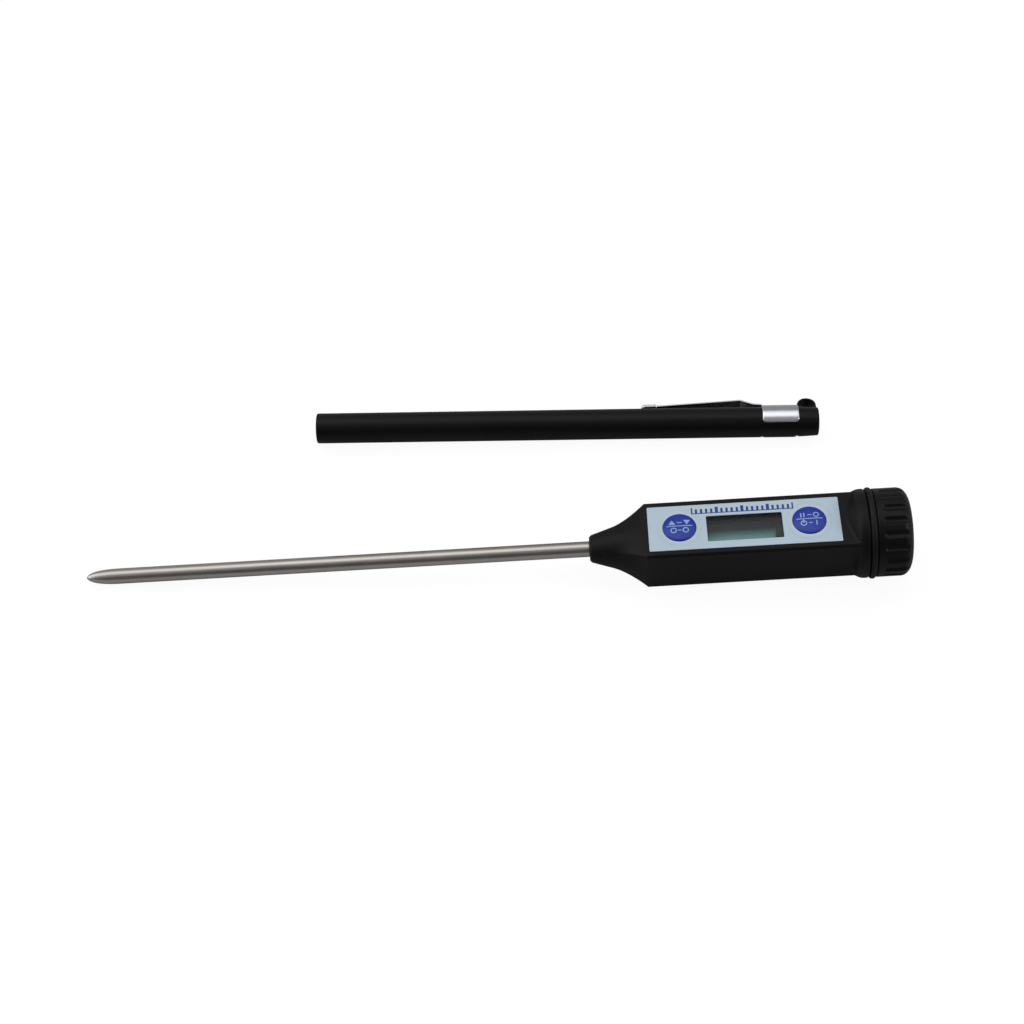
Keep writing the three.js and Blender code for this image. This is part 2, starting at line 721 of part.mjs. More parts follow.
// The sprung arm: it rises from the band to a sharp crest, runs back down and turns up at its tip.
// Its side view is given from the mouth, as [distance back, height over the axis].
function clipArm() {
  const sideView = [
    [13.7, 4], [14.7, 4.45], [18, 5.93], [18.5, 6.04],
    [19.1, 5.99], [37.6, 4.5], [38.6, 4.45], [43, 4.78],
  ];
  const middle = sideView.map(([back, height]) => new THREE.Vector2(SHEATH_LENGTH - back, height));
  const above = offset(middle, CLIP_SHEET / 2);
  const below = offset(middle, -CLIP_SHEET / 2).reverse();
  const shape = new THREE.Shape([...above, ...below]);
  const strip = new THREE.ExtrudeGeometry(shape, { depth: CLIP_WIDTH, bevelEnabled: false });
  return solid(strip.rotateX(Math.PI / 2).translate(0, CLIP_WIDTH / 2, 0));
}

// The points of a path moved to its side.
function offset(path, distance) {
  return path.map((point, i) => {
    const before = path[Math.max(i - 1, 0)];
    const after = path[Math.min(i + 1, path.length - 1)];
    const along = after.clone().sub(before).normalize();
    return new THREE.Vector2(point.x - along.y * distance, point.y + along.x * distance);
  });
}

// ---------------------------------------------------------------- materials

const BLACK_ABS = { color: 0x191819, roughness: 0.45, metalness: 0 };
const STEEL = { color: 0xb9b5b0, roughness: 0.25, metalness: 1 };
const CHROME = { color: 0xd8dce2, roughness: 0.12, metalness: 1 };
const LABEL_BLUE = { color: 0xa6b9ca, roughness: 0.5, metalness: 0 };
const BUTTON_BLUE = { color: 0x2e3c9a, roughness: 0.4, metalness: 0 };
const CLEAR = { color: 0xdfe6e8, roughness: 0.08, metalness: 0 };
const LCD_GREY = { color: 0x74877f, roughness: 0.25, metalness: 0 };
const RUBBER = { color: 0x121212, roughness: 0.75, metalness: 0 };
const BOARD_GREEN = { color: 0x1f5a33, roughness: 0.5, metalness: 0 };
const BRASS = { color: 0xb58a45, roughness: 0.35, metalness: 1 };
const SPRING_STEEL = { color: 0xc4c4c0, roughness: 0.3, metalness: 1 };
const SENSOR_GLASS = { color: 0x9c3b24, roughness: 0.2, metalness: 0 };
const RED_LEAD = { color: 0xa32020, roughness: 0.55, metalness: 0 };
const WHITE_LEAD = { color: 0xd5d3cc, roughness: 0.55, metalness: 0 };
const CERAMIC = { color: 0x9a8468, roughness: 0.6, metalness: 0 };

// ---------------------------------------------------------------- assembly

function piece(name, manifold, look) {
  const mesh = new THREE.Mesh(geometryOf(manifold), new THREE.MeshStandardMaterial(look));
  mesh.name = name;
  return mesh;
}

function thermometer() {
  const body = new THREE.Group();
  body.add(
    piece("housing", housing(), BLACK_ABS),
    piece("label_film", labelFilm(), LABEL_BLUE),
    piece("display_window", displayWindow(), CLEAR),
    piece("lcd_panel", lcdPanel(), LCD_GREY),
    piece("lcd_frame", lcdFrame(), BLACK_ABS),
    piece("lcd_contact_strip", contactStrip(), RUBBER),
    piece("circuit_board", circuitBoard(), BOARD_GREEN),
    piece("chip_blob", chipBlob(), BLACK_ABS),
    piece("timing_crystal", crystal(), STEEL),
    piece("capacitor_1", chipPart(25, 2.4), CERAMIC),
    piece("capacitor_2", chipPart(29, 2.4), CERAMIC),
    piece("resistor_1", chipPart(25, -2.4), CERAMIC),
    piece("resistor_2", chipPart(29, -2.4), CERAMIC),
    piece("stem_tube", stemTube(), STEEL),
    piece("thermistor_bead", thermistorBead(), SENSOR_GLASS),
    piece("sensor_lead_red", sensorLead(1), RED_LEAD),
    piece("sensor_lead_white", sensorLead(-1), WHITE_LEAD),
    piece("stem_bush", stemBush(), BRASS),
    piece("nose_seal", noseSeal(), RUBBER),
    piece("battery_holder", batteryHolder(), BLACK_ABS),
    piece("battery_cell", batteryCell(), CHROME),
    piece("negative_spring", negativeSpring(), SPRING_STEEL),
    piece("positive_strip", positiveStrip(), SPRING_STEEL),
    piece("seal_ring", sealRing(), RUBBER),
    piece("cap_contact", capContact(), SPRING_STEEL),
    piece("battery_cap", batteryCap(), BLACK_ABS),
  );
  for (const [side, x] of Object.entries(BUTTON_X)) {
    body.add(
      piece(`${side}_button`, button(x), BUTTON_BLUE),
      piece(`${side}_switch_body`, switchBody(x), BLACK_ABS),
      piece(`${side}_switch_plunger`, switchPlunger(x), RUBBER),
    );
  }
  return body;
}

// The table touches the stem's tip and the seal ring, so it falls away toward the cap.
function tableSlope() {
  const ringReach = RING_CENTRE_RADIUS + RING_SECTION;
  return (ringReach - STEM_RADIUS) / (RING_X + STEM_LENGTH);
}

function sheath() {
  const body = new THREE.Group();
  body.add(
    piece("sheath_tube", sheathTube(), BLACK_ABS),
    piece("clip_band", clipBand(), CHROME),
    piece("clip_arm", clipArm(), CHROME),
  );
  const table = -STEM_RADIUS - tableSlope() * (SHEATH_X + STEM_LENGTH);
  body.position.set(SHEATH_X, SHEATH_Y, table + SHEATH_RADIUS);
  body.rotation.set(SHEATH_ROLL, Math.atan(tableSlope()), SHEATH_YAW, "ZYX");
  return body;
}

const group = new THREE.Group();
group.add(thermometer(), sheath());
group.position.set(-(BODY_START + SHOULDER_START) / 2, 0, -BODY_BACK);

export default group;
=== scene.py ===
"""Looks of the soil thermometer probe and its sheath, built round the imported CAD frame.

Shapes are made in millimetres. The thermometer's shapes start where the stem leaves the nose, with
+X along the axis to the battery cap and +Z out of the label. The sheath's start at its closed end,
with +X to its mouth and +Z to its clip. place() moves a finished shape into the row frame, in metres.
"""

import json
import math

import bmesh
import bpy
import numpy as np
from mathutils import Matrix, Vector


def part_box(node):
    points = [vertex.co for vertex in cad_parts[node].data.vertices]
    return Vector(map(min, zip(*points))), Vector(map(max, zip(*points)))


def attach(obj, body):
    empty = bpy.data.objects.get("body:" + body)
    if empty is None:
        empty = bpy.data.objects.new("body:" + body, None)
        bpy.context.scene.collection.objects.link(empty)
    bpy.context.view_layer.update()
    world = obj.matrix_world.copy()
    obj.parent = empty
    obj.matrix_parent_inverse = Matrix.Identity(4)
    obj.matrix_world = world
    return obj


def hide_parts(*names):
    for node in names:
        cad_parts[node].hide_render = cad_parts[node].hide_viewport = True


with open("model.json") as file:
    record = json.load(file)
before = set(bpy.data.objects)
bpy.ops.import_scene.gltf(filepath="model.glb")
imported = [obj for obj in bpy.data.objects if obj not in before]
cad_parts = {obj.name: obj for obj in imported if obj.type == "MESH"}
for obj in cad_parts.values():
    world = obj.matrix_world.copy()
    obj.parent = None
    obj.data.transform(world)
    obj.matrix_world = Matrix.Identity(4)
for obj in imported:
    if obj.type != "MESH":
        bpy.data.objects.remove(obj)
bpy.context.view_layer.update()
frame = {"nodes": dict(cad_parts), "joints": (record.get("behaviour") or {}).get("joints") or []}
NODES = frame["nodes"]
JOINTS = {joint["name"]: joint for joint in frame["joints"]}
MM = 0.001

# ---- places and sizes, from the frame

# A BORE or HOLE is a radius. LABEL and WINDOW hold x low, x high, y low, y high.

stem_low, stem_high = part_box("stem_tube")
AXIS_START = Vector((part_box("housing")[0].x, 0, (stem_low.z + stem_high.z) / 2))
THERMOMETER = Matrix.Translation(AXIS_START) @ Matrix.Scale(MM, 4)


def corners(node):
    """A node's lowest and highest corners in millimetres, from where the stem leaves the nose."""
    low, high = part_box(node)
    return (low - AXIS_START) / MM, (high - AXIS_START) / MM


stem_low, stem_high = corners("stem_tube")
STEM_RADIUS = stem_high.z
STEM_TIP = stem_low.x
STEM_INNER_END = stem_high.x
STEM_BORE = STEM_RADIUS - 0.35
TIP_LENGTH = 9.2
TIP_BLUNTNESS = 0.53

label_low, label_high = corners("label_film")
LABEL = (label_low.x, label_high.x, label_low.y, label_high.y)
BODY_START = label_low.x - 0.6
BODY_HALF_WIDTH = label_high.y + 1.55
BODY_TOP = label_high.z + 0.02
BODY_BACK = -AXIS_START.z / MM
BODY_EDGE = 0.8
SHOULDER_START = label_high.x + 1.2
COLLAR_RADIUS = corners("housing")[1].y
NECK_END = corners("housing")[1].x
NOSE_RADIUS = 3.1
NOSE_TAPER = 0.318
FLARE_START = 5.5
FLARE_POWER = 1.7

ring_low, ring_high = corners("seal_ring")
RING_SECTION = (ring_high.x - ring_low.x) / 2
RING_X = (ring_high.x + ring_low.x) / 2
RING_RADIUS = ring_high.y - RING_SECTION
COLLAR_END = ring_low.x - 0.1
RING_LAND_RADIUS = RING_RADIUS - RING_SECTION - 0.07
NECK_RADIUS = RING_LAND_RADIUS - 0.45

cap_low, cap_high = corners("battery_cap")
CAP_START = cap_low.x
CAP_END = cap_high.x
CAP_RADIUS = cap_high.y
CAP_FLOOR = CAP_END - 1.6
CAP_BORE = 9.3
CROWN_DEPTH = 2.7
CROWN_WIDTH = 3.6
FLUTES = 20
FLUTE_START = CAP_START + 1.25
FLUTE_TURN = math.radians(2.5)
THREAD_PITCH = 2.0
THREAD_HEIGHT = 0.42
THREAD_TURNS = 2
THREAD_START = CAP_START + 0.85

KEY_CENTRES = {side: sum(corners(f"{side}_button"), Vector()) / 2 for side in ("left", "right")}
KEY_CROWN = corners("left_button")[1].z
KEY_FOOT = corners("left_button")[0].z
FLANGE_RADIUS = (corners("left_button")[1].x - corners("left_button")[0].x) / 2
KEY_RADIUS = FLANGE_RADIUS - 0.5

lens_low, lens_high = corners("display_window")
LENS_MARGIN = 0.7
WINDOW = (
    lens_low.x + LENS_MARGIN, lens_high.x - LENS_MARGIN,
    lens_low.y + LENS_MARGIN, lens_high.y - LENS_MARGIN)

SHEATH_AXIS = Vector(JOINTS["sheath_draw"]["axis"]).normalized()
CLIP_AXIS = Vector(JOINTS["clip_flex"]["axis"]).normalized()
CLIP_SIDE = SHEATH_AXIS.cross(CLIP_AXIS).normalized()


def reach(node, direction):
    """How far a node stretches along a direction, lowest and highest, in metres."""
    spots = [vertex.co.dot(direction) for vertex in NODES[node].data.vertices]
    return min(spots), max(spots)


def sheath_frame():
    """The sheath's own frame: origin at the closed end, on the tube's axis."""
    closed_end, mouth = reach("sheath_tube", SHEATH_AXIS)
    across_low, across_high = reach("sheath_tube", CLIP_AXIS)
    tube_low, _ = reach("sheath_tube", CLIP_SIDE)
    radius = (across_high - across_low) / 2
    across = (across_high + across_low) / 2
    origin = SHEATH_AXIS * closed_end + CLIP_AXIS * across + CLIP_SIDE * (tube_low + radius)
    turn = Matrix((SHEATH_AXIS, CLIP_AXIS, CLIP_SIDE)).transposed().to_4x4()
    place_there = Matrix.Translation(origin) @ turn @ Matrix.Scale(MM, 4)
    return place_there, (mouth - closed_end) / MM, radius / MM


SHEATH, SHEATH_LENGTH, SHEATH_MOUTH_RADIUS = sheath_frame()
SHEATH_RADIUS = SHEATH_MOUTH_RADIUS - 0.04
SHEATH_BORE = 2.15
SHEATH_LIP = SHEATH_MOUTH_RADIUS - 0.3
BAND_START = SHEATH_LENGTH - 14.0
BAND_END = SHEATH_LENGTH - 5.0
BAND_RADIUS = SHEATH_MOUTH_RADIUS + 0.3
BAND_OFFSET = 0.12
BAND_SEAT = SHEATH_MOUTH_RADIUS - 0.25
BAND_SHEET = 0.4
BAND_WRAP = math.radians(128)
BAND_TURN = math.radians(13)
CLIP_SHEET = 0.45
CLIP_HALF_WIDTH = 1.75
FOOT_LENGTH = 3.9
FOOT_SHEET = 1.05
LOOP_RADIUS = 2.35
LOOP_HOLE = 1.9
LOOP_HEIGHT = 5.0
LOOP_HALF_LENGTH = 1.4

# ---- mesh tools


def unit(vector):
    return vector / np.linalg.norm(vector)


def filleted(points, closed=False, steps=6):
    """The path through points, each (a, b) or (a, b, fillet radius), with arcs in its corners."""
    path = []
    count = len(points)
    for index, point in enumerate(points):
        here = np.array(point[:2], float)
        at_end = not closed and index in (0, count - 1)
        if len(point) < 3 or at_end:
            path.append(here)
            continue
        before = unit(np.array(points[index - 1][:2], float) - here)
        after = unit(np.array(points[(index + 1) % count][:2], float) - here)
        half_angle = math.acos(np.clip(before @ after, -1, 1)) / 2
        centre = here + unit(before + after) * point[2] / math.sin(half_angle)
        first = here + before * point[2] / math.tan(half_angle) - centre
        last = here + after * point[2] / math.tan(half_angle) - centre
        start = math.atan2(first[1], first[0])
        turn = math.remainder(math.atan2(last[1], last[0]) - start, 2 * math.pi)
        for step in range(steps + 1):
            angle = start + turn * step / steps
            path.append(centre + point[2] * np.array([math.cos(angle), math.sin(angle)]))
    return path


def dense(path, longest, closed=False):
    """The same path with its long stretches divided."""
    ends = path[1:] + path[:1] if closed else path[1:]
    result = []
    for start, end in zip(path, ends):
        pieces = max(1, math.ceil(np.linalg.norm(end - start) / longest))
        result += [start + (end - start) * k / pieces for k in range(pieces)]
    return result if closed else result + [path[-1]]


def smooth_max(a, b, width):
    """The larger of two heights, with a fillet where they cross."""
    overlap = np.clip(width - np.abs(a - b), 0, None) / width
    return np.maximum(a, b) + overlap ** 2 * width / 4


def smooth_step(value):
    value = np.clip(value, 0, 1)
    return value * value * (3 - 2 * value)


def skin(rows, loop=False):
    """Points and faces of a skin over rows of points; a row of one point closes the skin there."""
    points = np.concatenate(rows)
    starts = np.cumsum([0] + [len(row) for row in rows])
    pairs = [(n, n + 1) for n in range(len(rows) - 1)]
    if loop:
        pairs.append((len(rows) - 1, 0))
    faces = []
    for near, far in pairs:
        near_count, far_count = len(rows[near]), len(rows[far])
        a, b = starts[near], starts[far]
        for k in range(max(near_count, far_count)):
            if near_count == 1 and far_count == 1:
                break
            after = (k + 1) % max(near_count, far_count)
            if near_count == 1:
                faces.append((a, b + k, b + after))
            elif far_count == 1:
                faces.append((a + k, b, a + after))
            else:
                faces.append((a + k, b + k, b + after, a + after))
    return points, faces


def capped(rows):
    """A skin whose first and last rows are closed by flat faces."""
    points, faces = skin(rows)
    count = len(rows[0])
    last = len(points) - count
    faces.append(tuple(range(count)))
    faces.append(tuple(range(last, last + count)))
    return points, faces


def turned(path, columns, shift=None, loop=False):
    """A skin turned about the X axis from a path of (x, radius)."""
    angles = np.arange(columns) * 2 * math.pi / columns
    rows = []
    for x, radius in path:
        if radius < 1e-6:
            rows.append(np.array([[x, 0, 0]]))
            continue
        around = np.full(columns, radius)
        if shift:
            around = around + shift(x, radius, angles)
        along = np.full(columns, x)
        rows.append(np.stack([along, around * np.cos(angles), around * np.sin(angles)], 1))
    return skin(rows, loop)


def upright(shape, x, y):
    """Turns a shape made about the X axis to stand about a vertical line."""
    points, faces = shape
    return np.stack([x - points[:, 2], y + points[:, 1], points[:, 0]], 1), faces


def slab(outline, low, high, edge=0.0):
    """A flat plate over an outline of (x, y), its top edge rounded."""
    steps = 3
    outline = np.array(outline)
    outward = outline_normals(outline)
    rows = [np.column_stack([outline, np.full(len(outline), low)])]
    for step in range(steps + 1):
        angle = step / steps * math.pi / 2
        inset = outline - outward * edge * (1 - math.cos(angle))
        height = high - edge * (1 - math.sin(angle))
        rows.append(np.column_stack([inset, np.full(len(outline), height)]))
        if edge == 0:
            break
    return capped(rows)


def outline_normals(outline):
    """Directions that point out of a closed outline, one at each of its points."""
    ahead = np.roll(outline, -1, 0) - np.roll(outline, 1, 0)
    return np.stack([ahead[:, 1], -ahead[:, 0]], 1) / np.linalg.norm(ahead, axis=1)[:, None]


def rectangle(x0, x1, y0, y1, corner, grow=0.0):
    """A rounded rectangle's outline, grown outward on all sides."""
    return filleted([
        (x0 - grow, y0 - grow, corner), (x1 + grow, y0 - grow, corner),
        (x1 + grow, y1 + grow, corner), (x0 - grow, y1 + grow, corner)], closed=True)


def raw(name, shape):
    """An object in millimetres, not yet placed."""
    points, faces = shape
    mesh = bpy.data.meshes.new(name)
    mesh.from_pydata([tuple(point) for point in points], [], faces)
    built = bmesh.new()
    built.from_mesh(mesh)
    bmesh.ops.recalc_face_normals(built, faces=built.faces)
    built.to_mesh(mesh)
    built.free()
    thing = bpy.data.objects.new(name, mesh)
    bpy.context.scene.collection.objects.link(thing)
    return thing


def apply_modifiers(thing):
    """Replaces a thing's mesh by what its modifiers make of it."""
    bpy.context.view_layer.update()
    seen = thing.evaluated_get(bpy.context.evaluated_depsgraph_get())
    mesh = bpy.data.meshes.new_from_object(seen)
    thing.modifiers.clear()
    thing.data = mesh


def combine(thing, shapes, operation):
    """Joins shapes to a thing, or cuts them out of it."""
    for shape in shapes:
        tool = raw("tool", shape)
        modifier = thing.modifiers.new("combine", "BOOLEAN")
        modifier.operation = operation
        modifier.solver = "EXACT"
        modifier.object = tool
        apply_modifiers(thing)
        bpy.data.objects.remove(tool)


def place(thing, body, look, replaced, crease=32):
    """Moves a thing into the row frame, marks its sharp edges, and hands it to its CAD body."""
    thing.data.transform(SHEATH if body in ("sheath", "clip") else THERMOMETER)
    built = bmesh.new()
    built.from_mesh(thing.data)
    bmesh.ops.remove_doubles(built, verts=built.verts, dist=1e-7)
    bmesh.ops.recalc_face_normals(built, faces=built.faces)
    for face in built.faces:
        face.smooth = True
    for edge in built.edges:
        edge.smooth = len(edge.link_faces) == 2 and edge.calc_face_angle(0) < math.radians(crease)
    built.to_mesh(thing.data)
    built.free()
    thing.data.materials.clear()
    thing.data.materials.append(look)
    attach(thing, body)
    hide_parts(replaced)


# ---- shader tools


class Shader:
    """A material's node tree being written, with one short call for each kind of node.

    where_mm is where a point is at rest, in millimetres of the row frame.
    """

    def __init__(self, name):
        self.material = bpy.data.materials.new(name)
        self.material.use_nodes = True
        self.tree = self.material.node_tree
        self.surface = self.tree.nodes["Principled BSDF"]
        self.output = self.tree.nodes["Material Output"]
        at_rest = self.node("ShaderNodeTexCoord").outputs["Object"]
        self.where_mm = self.stretched(at_rest, (1 / MM,) * 3)

    def node(self, kind, inputs=None, **settings):
        made = self.tree.nodes.new(kind)
        for name, value in settings.items():
            setattr(made, name, value)
        for key, value in (inputs or {}).items():
            self.feed(made.inputs[key], value)
        return made

    def feed(self, socket, value):
        if isinstance(value, Field):
            value = value.socket
        if isinstance(value, bpy.types.NodeSocket):
            self.tree.links.new(value, socket)
        else:
            socket.default_value = value

    def axes(self):
        split = self.node("ShaderNodeSeparateXYZ", {0: self.where_mm})
        return [Field(self, split.outputs[k]) for k in range(3)]

    def stretched(self, where, factors):
        return self.node("ShaderNodeVectorMath", {0: where, 1: factors}, operation="MULTIPLY").outputs[0]

    def noise(self, per_mm, detail, roughness=0.55, stretch=None):
        where = self.stretched(self.where_mm, stretch) if stretch else self.where_mm
        made = self.node("ShaderNodeTexNoise", {
            "Vector": where, "Scale": per_mm, "Detail": detail, "Roughness": roughness})
        return Field(self, made.outputs["Fac"])

    def ramp(self, value, low, high):
        """0 at low, 1 at high, and a smooth rise between."""
        made = self.node("ShaderNodeMapRange", {
            0: value, 1: low, 2: high, 3: 0.0, 4: 1.0}, interpolation_type="SMOOTHSTEP")
        return Field(self, made.outputs[0])

    def mix(self, share, first, second):
        made = self.node("ShaderNodeMix", {0: share, 6: first, 7: second}, data_type="RGBA")
        return made.outputs[2]

    def bump(self, height, size_mm, normal=None):
        inputs = {"Height": height, "Distance": size_mm * MM, "Strength": 1.0}
        if normal is not None:
            inputs["Normal"] = normal
        return self.node("ShaderNodeBump", inputs).outputs[0]

    def soft_edges(self, radius_mm):
        """The surface direction with sharp edges eased, and how near an edge a point is."""
        eased = self.node("ShaderNodeBevel", {"Radius": radius_mm * MM}, samples=4).outputs[0]
        flat = self.node("ShaderNodeNewGeometry").outputs["Normal"]
        facing = self.node("ShaderNodeVectorMath", {0: eased, 1: flat}, operation="DOT_PRODUCT")
        worn = self.ramp(Field(self, facing.outputs["Value"]), 0.995, 0.9)
        return eased, worn

    def finish(self, **inputs):
        names = {name.replace(" ", "_").lower(): name for name in self.surface.inputs.keys()}
        for key, value in inputs.items():
            self.feed(self.surface.inputs[names[key]], value)
        return self.material


PRINT_EDGE = 0.03


class Field:
    """A number in a shader, for arithmetic in plain Python."""

    def __init__(self, shader, socket):
        self.shader = shader
        self.socket = socket

    def math(self, operation, other=None):
        inputs = {0: self.socket}
        if other is not None:
            inputs[1] = other
        made = self.shader.node("ShaderNodeMath", inputs, operation=operation)
        return Field(self.shader, made.outputs[0])

    def __add__(self, other):
        return self.math("ADD", other)

    def __sub__(self, other):
        return self.math("SUBTRACT", other)

    def __mul__(self, other):
        return self.math("MULTIPLY", other)

    def __truediv__(self, other):
        return self.math("DIVIDE", other)

    def __abs__(self):
        return self.math("ABSOLUTE")

    def below(self, other):
        """1 where this is under the other number, 0 above it, with a soft step between."""
        return self.shader.ramp(self - other, PRINT_EDGE, -PRINT_EDGE)

    def maximum(self, other):
        return self.math("MAXIMUM", other)

    def wrapped(self, period):
        """Distance to the nearest multiple of the period."""
        return abs(self - (self / period).math("ROUND") * period)


# ---- materials


def black_plastic(name, grain=1.0, shine=0.0):
    """Satin black moulding: fine spark grain, faint flow marks, edges rubbed smoother and paler."""
    shader = Shader(name)
    clouds = shader.noise(per_mm=0.16, detail=4)
    spots = shader.noise(per_mm=1.1, detail=3)
    sparks = shader.noise(per_mm=7.0, detail=2, roughness=0.6)
    eased, worn = shader.soft_edges(0.14)
    tone = clouds * 0.6 + spots * 0.4
    color = shader.mix(tone, (0.0032, 0.0028, 0.0031, 1), (0.0058, 0.0052, 0.0058, 1))
    color = shader.mix(worn * 0.4, color, (0.016, 0.015, 0.017, 1))
    rough = clouds * 0.1 + spots * 0.08 + (0.36 - shine)
    rough = rough - worn * 0.08
    normal = shader.bump(sparks * grain + spots * 0.5, 0.012, eased)
    return shader.finish(base_color=color, roughness=rough, specular_ior_level=0.17, normal=normal)


def black_rubber(name):
    """Dull rubber with dust in its fine grain."""
    shader = Shader(name)
    dust = shader.noise(per_mm=2.4, detail=5, roughness=0.7)
    fine = shader.noise(per_mm=12.0, detail=2)
    dusty = shader.ramp(dust, 0.55, 0.8)
    color = shader.mix(dusty, (0.004, 0.0038, 0.0043, 1), (0.011, 0.0105, 0.0115, 1))
    normal = shader.bump(fine + dust, 0.01)
    return shader.finish(
        base_color=color, roughness=dust * 0.2 + 0.42, specular_ior_level=0.22, normal=normal)


def polished_steel(name):
    """Drawn stainless tube: hairlines along its length over a faintly uneven polish."""
    shader = Shader(name)
    hairlines = shader.noise(per_mm=2.2, detail=4, roughness=0.7, stretch=(0.05, 5.0, 5.0))
    patches = shader.noise(per_mm=0.5, detail=3, stretch=(0.35, 1.0, 1.0))
    specks = shader.ramp(shader.noise(per_mm=3.2, detail=2), 0.68, 0.76)
    color = shader.mix(patches, (0.45, 0.42, 0.395, 1), (0.53, 0.5, 0.475, 1))
    color = shader.mix(specks * 0.35, color, (0.3, 0.27, 0.24, 1))
    rough = hairlines * 0.12 + patches * 0.08 + 0.19
    normal = shader.bump(hairlines, 0.0035)
    return shader.finish(base_color=color, metallic=1.0, roughness=rough, normal=normal)


def bright_nickel(name):
    """Plated spring sheet: bright, with press marks and a fine haze."""
    shader = Shader(name)
    haze = shader.noise(per_mm=0.8, detail=5, roughness=0.65)
    marks = shader.noise(per_mm=1.6, detail=3, stretch=(0.4, 3.0, 3.0))
    eased, worn = shader.soft_edges(0.08)
    color = shader.mix(haze, (0.62, 0.64, 0.68, 1), (0.74, 0.76, 0.79, 1))
    rough = haze * 0.14 + marks * 0.06 + 0.08 + worn * 0.08
    normal = shader.bump(marks + haze * 0.6, 0.004, eased)
    return shader.finish(base_color=color, metallic=1.0, roughness=rough, normal=normal)


def spring_metal(name, color_low, color_high):
    """Bare sheet, wire or turned metal, dulled in patches."""
    shader = Shader(name)
    tarnish = shader.noise(per_mm=0.9, detail=5, roughness=0.65)
    fine = shader.noise(per_mm=6.0, detail=2)
    color = shader.mix(tarnish, color_low, color_high)
    normal = shader.bump(fine, 0.006)
    return shader.finish(base_color=color, metallic=1.0, roughness=tarnish * 0.25 + 0.18, normal=normal)


def tinted_plastic(name, color_low, color_high, roughness):
    """Plain moulded or sleeved plastic with cloudy colour and a light grain."""
    shader = Shader(name)
    clouds = shader.noise(per_mm=0.7, detail=4)
    fine = shader.noise(per_mm=8.0, detail=2)
    color = shader.mix(clouds, color_low, color_high)
    normal = shader.bump(fine, 0.01)
    return shader.finish(base_color=color, roughness=clouds * 0.15 + roughness, normal=normal)


def bar(x, y, centre, half_size):
    """A filled rectangle of print."""
    return (abs(x - centre[0]) - half_size[0]).maximum(abs(y - centre[1]) - half_size[1]).below(0)


def hoop(x, y, centre, radius, line):
    """A printed ring, or a dot where the radius is 0."""
    across, up = x - centre[0], y - centre[1]
    return abs((across * across + up * up).math("SQRT") - radius).below(line / 2)


def arrow(x, y, centre, size, direction):
    """A small filled triangle that points up or down."""
    up = (y - centre[1]) * direction
    return (abs(x - centre[0]) * 1.6 + up - size / 2).maximum(up * -1 - size / 2).below(0)


def any_of(*marks):
    """Wherever at least one of the marks is."""
    result = marks[0]
    for mark in marks[1:]:
        result = result.maximum(mark)
    return result


def printed_film(name):
    """Light blue label film, paler round the keys. Its print is a plain tick scale over the display."""
    shader = Shader(name)
    x, y, _ = shader.axes()
    x = x - AXIS_START.x / MM
    clouds = shader.noise(per_mm=0.22, detail=4)
    fibre = shader.noise(per_mm=3.0, detail=4, roughness=0.6)
    color = shader.mix(clouds * 0.7 + fibre * 0.3, (0.46, 0.59, 0.7, 1), (0.55, 0.67, 0.77, 1))
    scale_middle = (WINDOW[0] + WINDOW[1]) / 2 - 0.25
    scale_height = (WINDOW[3] + label_high.y) / 2 - 0.05
    half_scale = 11.9
    tick_gap = 1.19
    long_tick_gap = 5.95
    along = x - scale_middle
    ticks = along.wrapped(tick_gap).below(0.27)
    long_ticks = along.wrapped(long_tick_gap).below(0.36)
    short_band = bar(x, y, (scale_middle, scale_height - 0.15), (half_scale, 0.62))
    tall_band = bar(x, y, (scale_middle, scale_height), (half_scale, 0.88))
    rule = bar(x, y, (scale_middle, scale_height - 0.8), (half_scale, 0.13))
    print_mask = any_of(ticks * short_band, long_ticks * tall_band, rule)
    color = shader.mix(print_mask, color, (0.009, 0.035, 0.25, 1))
    halo = any_of(*[hoop(x, y, (centre.x, 0), KEY_RADIUS + 0.3, 0.5) for centre in KEY_CENTRES.values()])
    color = shader.mix(halo * 0.35, color, (0.78, 0.88, 0.95, 1))
    normal = shader.bump(fibre + key_rims(x, y) * 6.0, 0.012)
    return shader.finish(
        base_color=color, roughness=clouds * 0.14 + 0.3, specular_ior_level=0.5, normal=normal)


def key_rims(x, y):
    """The film is stretched a little round each key."""
    rims = [hoop(x, y, (centre.x, 0), KEY_RADIUS + 0.85, 0.9) for centre in KEY_CENTRES.values()]
    return any_of(*rims)


def key_print(side, x, y):
    """Pale marks: a dividing line, with arrows and rings on one key and a switch sign on the other."""
    line = bar(x, y, (0, 0.1), (3.0, 0.12))
    if side == "left":
        above = any_of(
            arrow(x, y, (-1.75, 1.15), 1.3, 1), bar(x, y, (0, 1.05), (0.55, 0.13)),
            arrow(x, y, (1.75, 1.1), 1.3, -1))
        below = any_of(
            hoop(x, y, (-1.4, -1.1), 0.62, 0.26), bar(x, y, (0, -1.1), (0.4, 0.13)),
            hoop(x, y, (1.4, -1.1), 0.62, 0.26))
    else:
        above = any_of(
            bar(x, y, (-1.9, 1.15), (0.15, 0.62)), bar(x, y, (-1.2, 1.15), (0.15, 0.62)),
            bar(x, y, (0.1, 1.15), (0.5, 0.13)), hoop(x, y, (1.6, 1.15), 0.58, 0.26))
        below = any_of(
            hoop(x, y, (-1.4, -1.15), 0.62, 0.26), bar(x, y, (-1.4, -0.6), (0.13, 0.5)),
            bar(x, y, (0.2, -1.1), (0.45, 0.13)), bar(x, y, (1.6, -1.1), (0.14, 0.6)))
    return any_of(line, above, below)


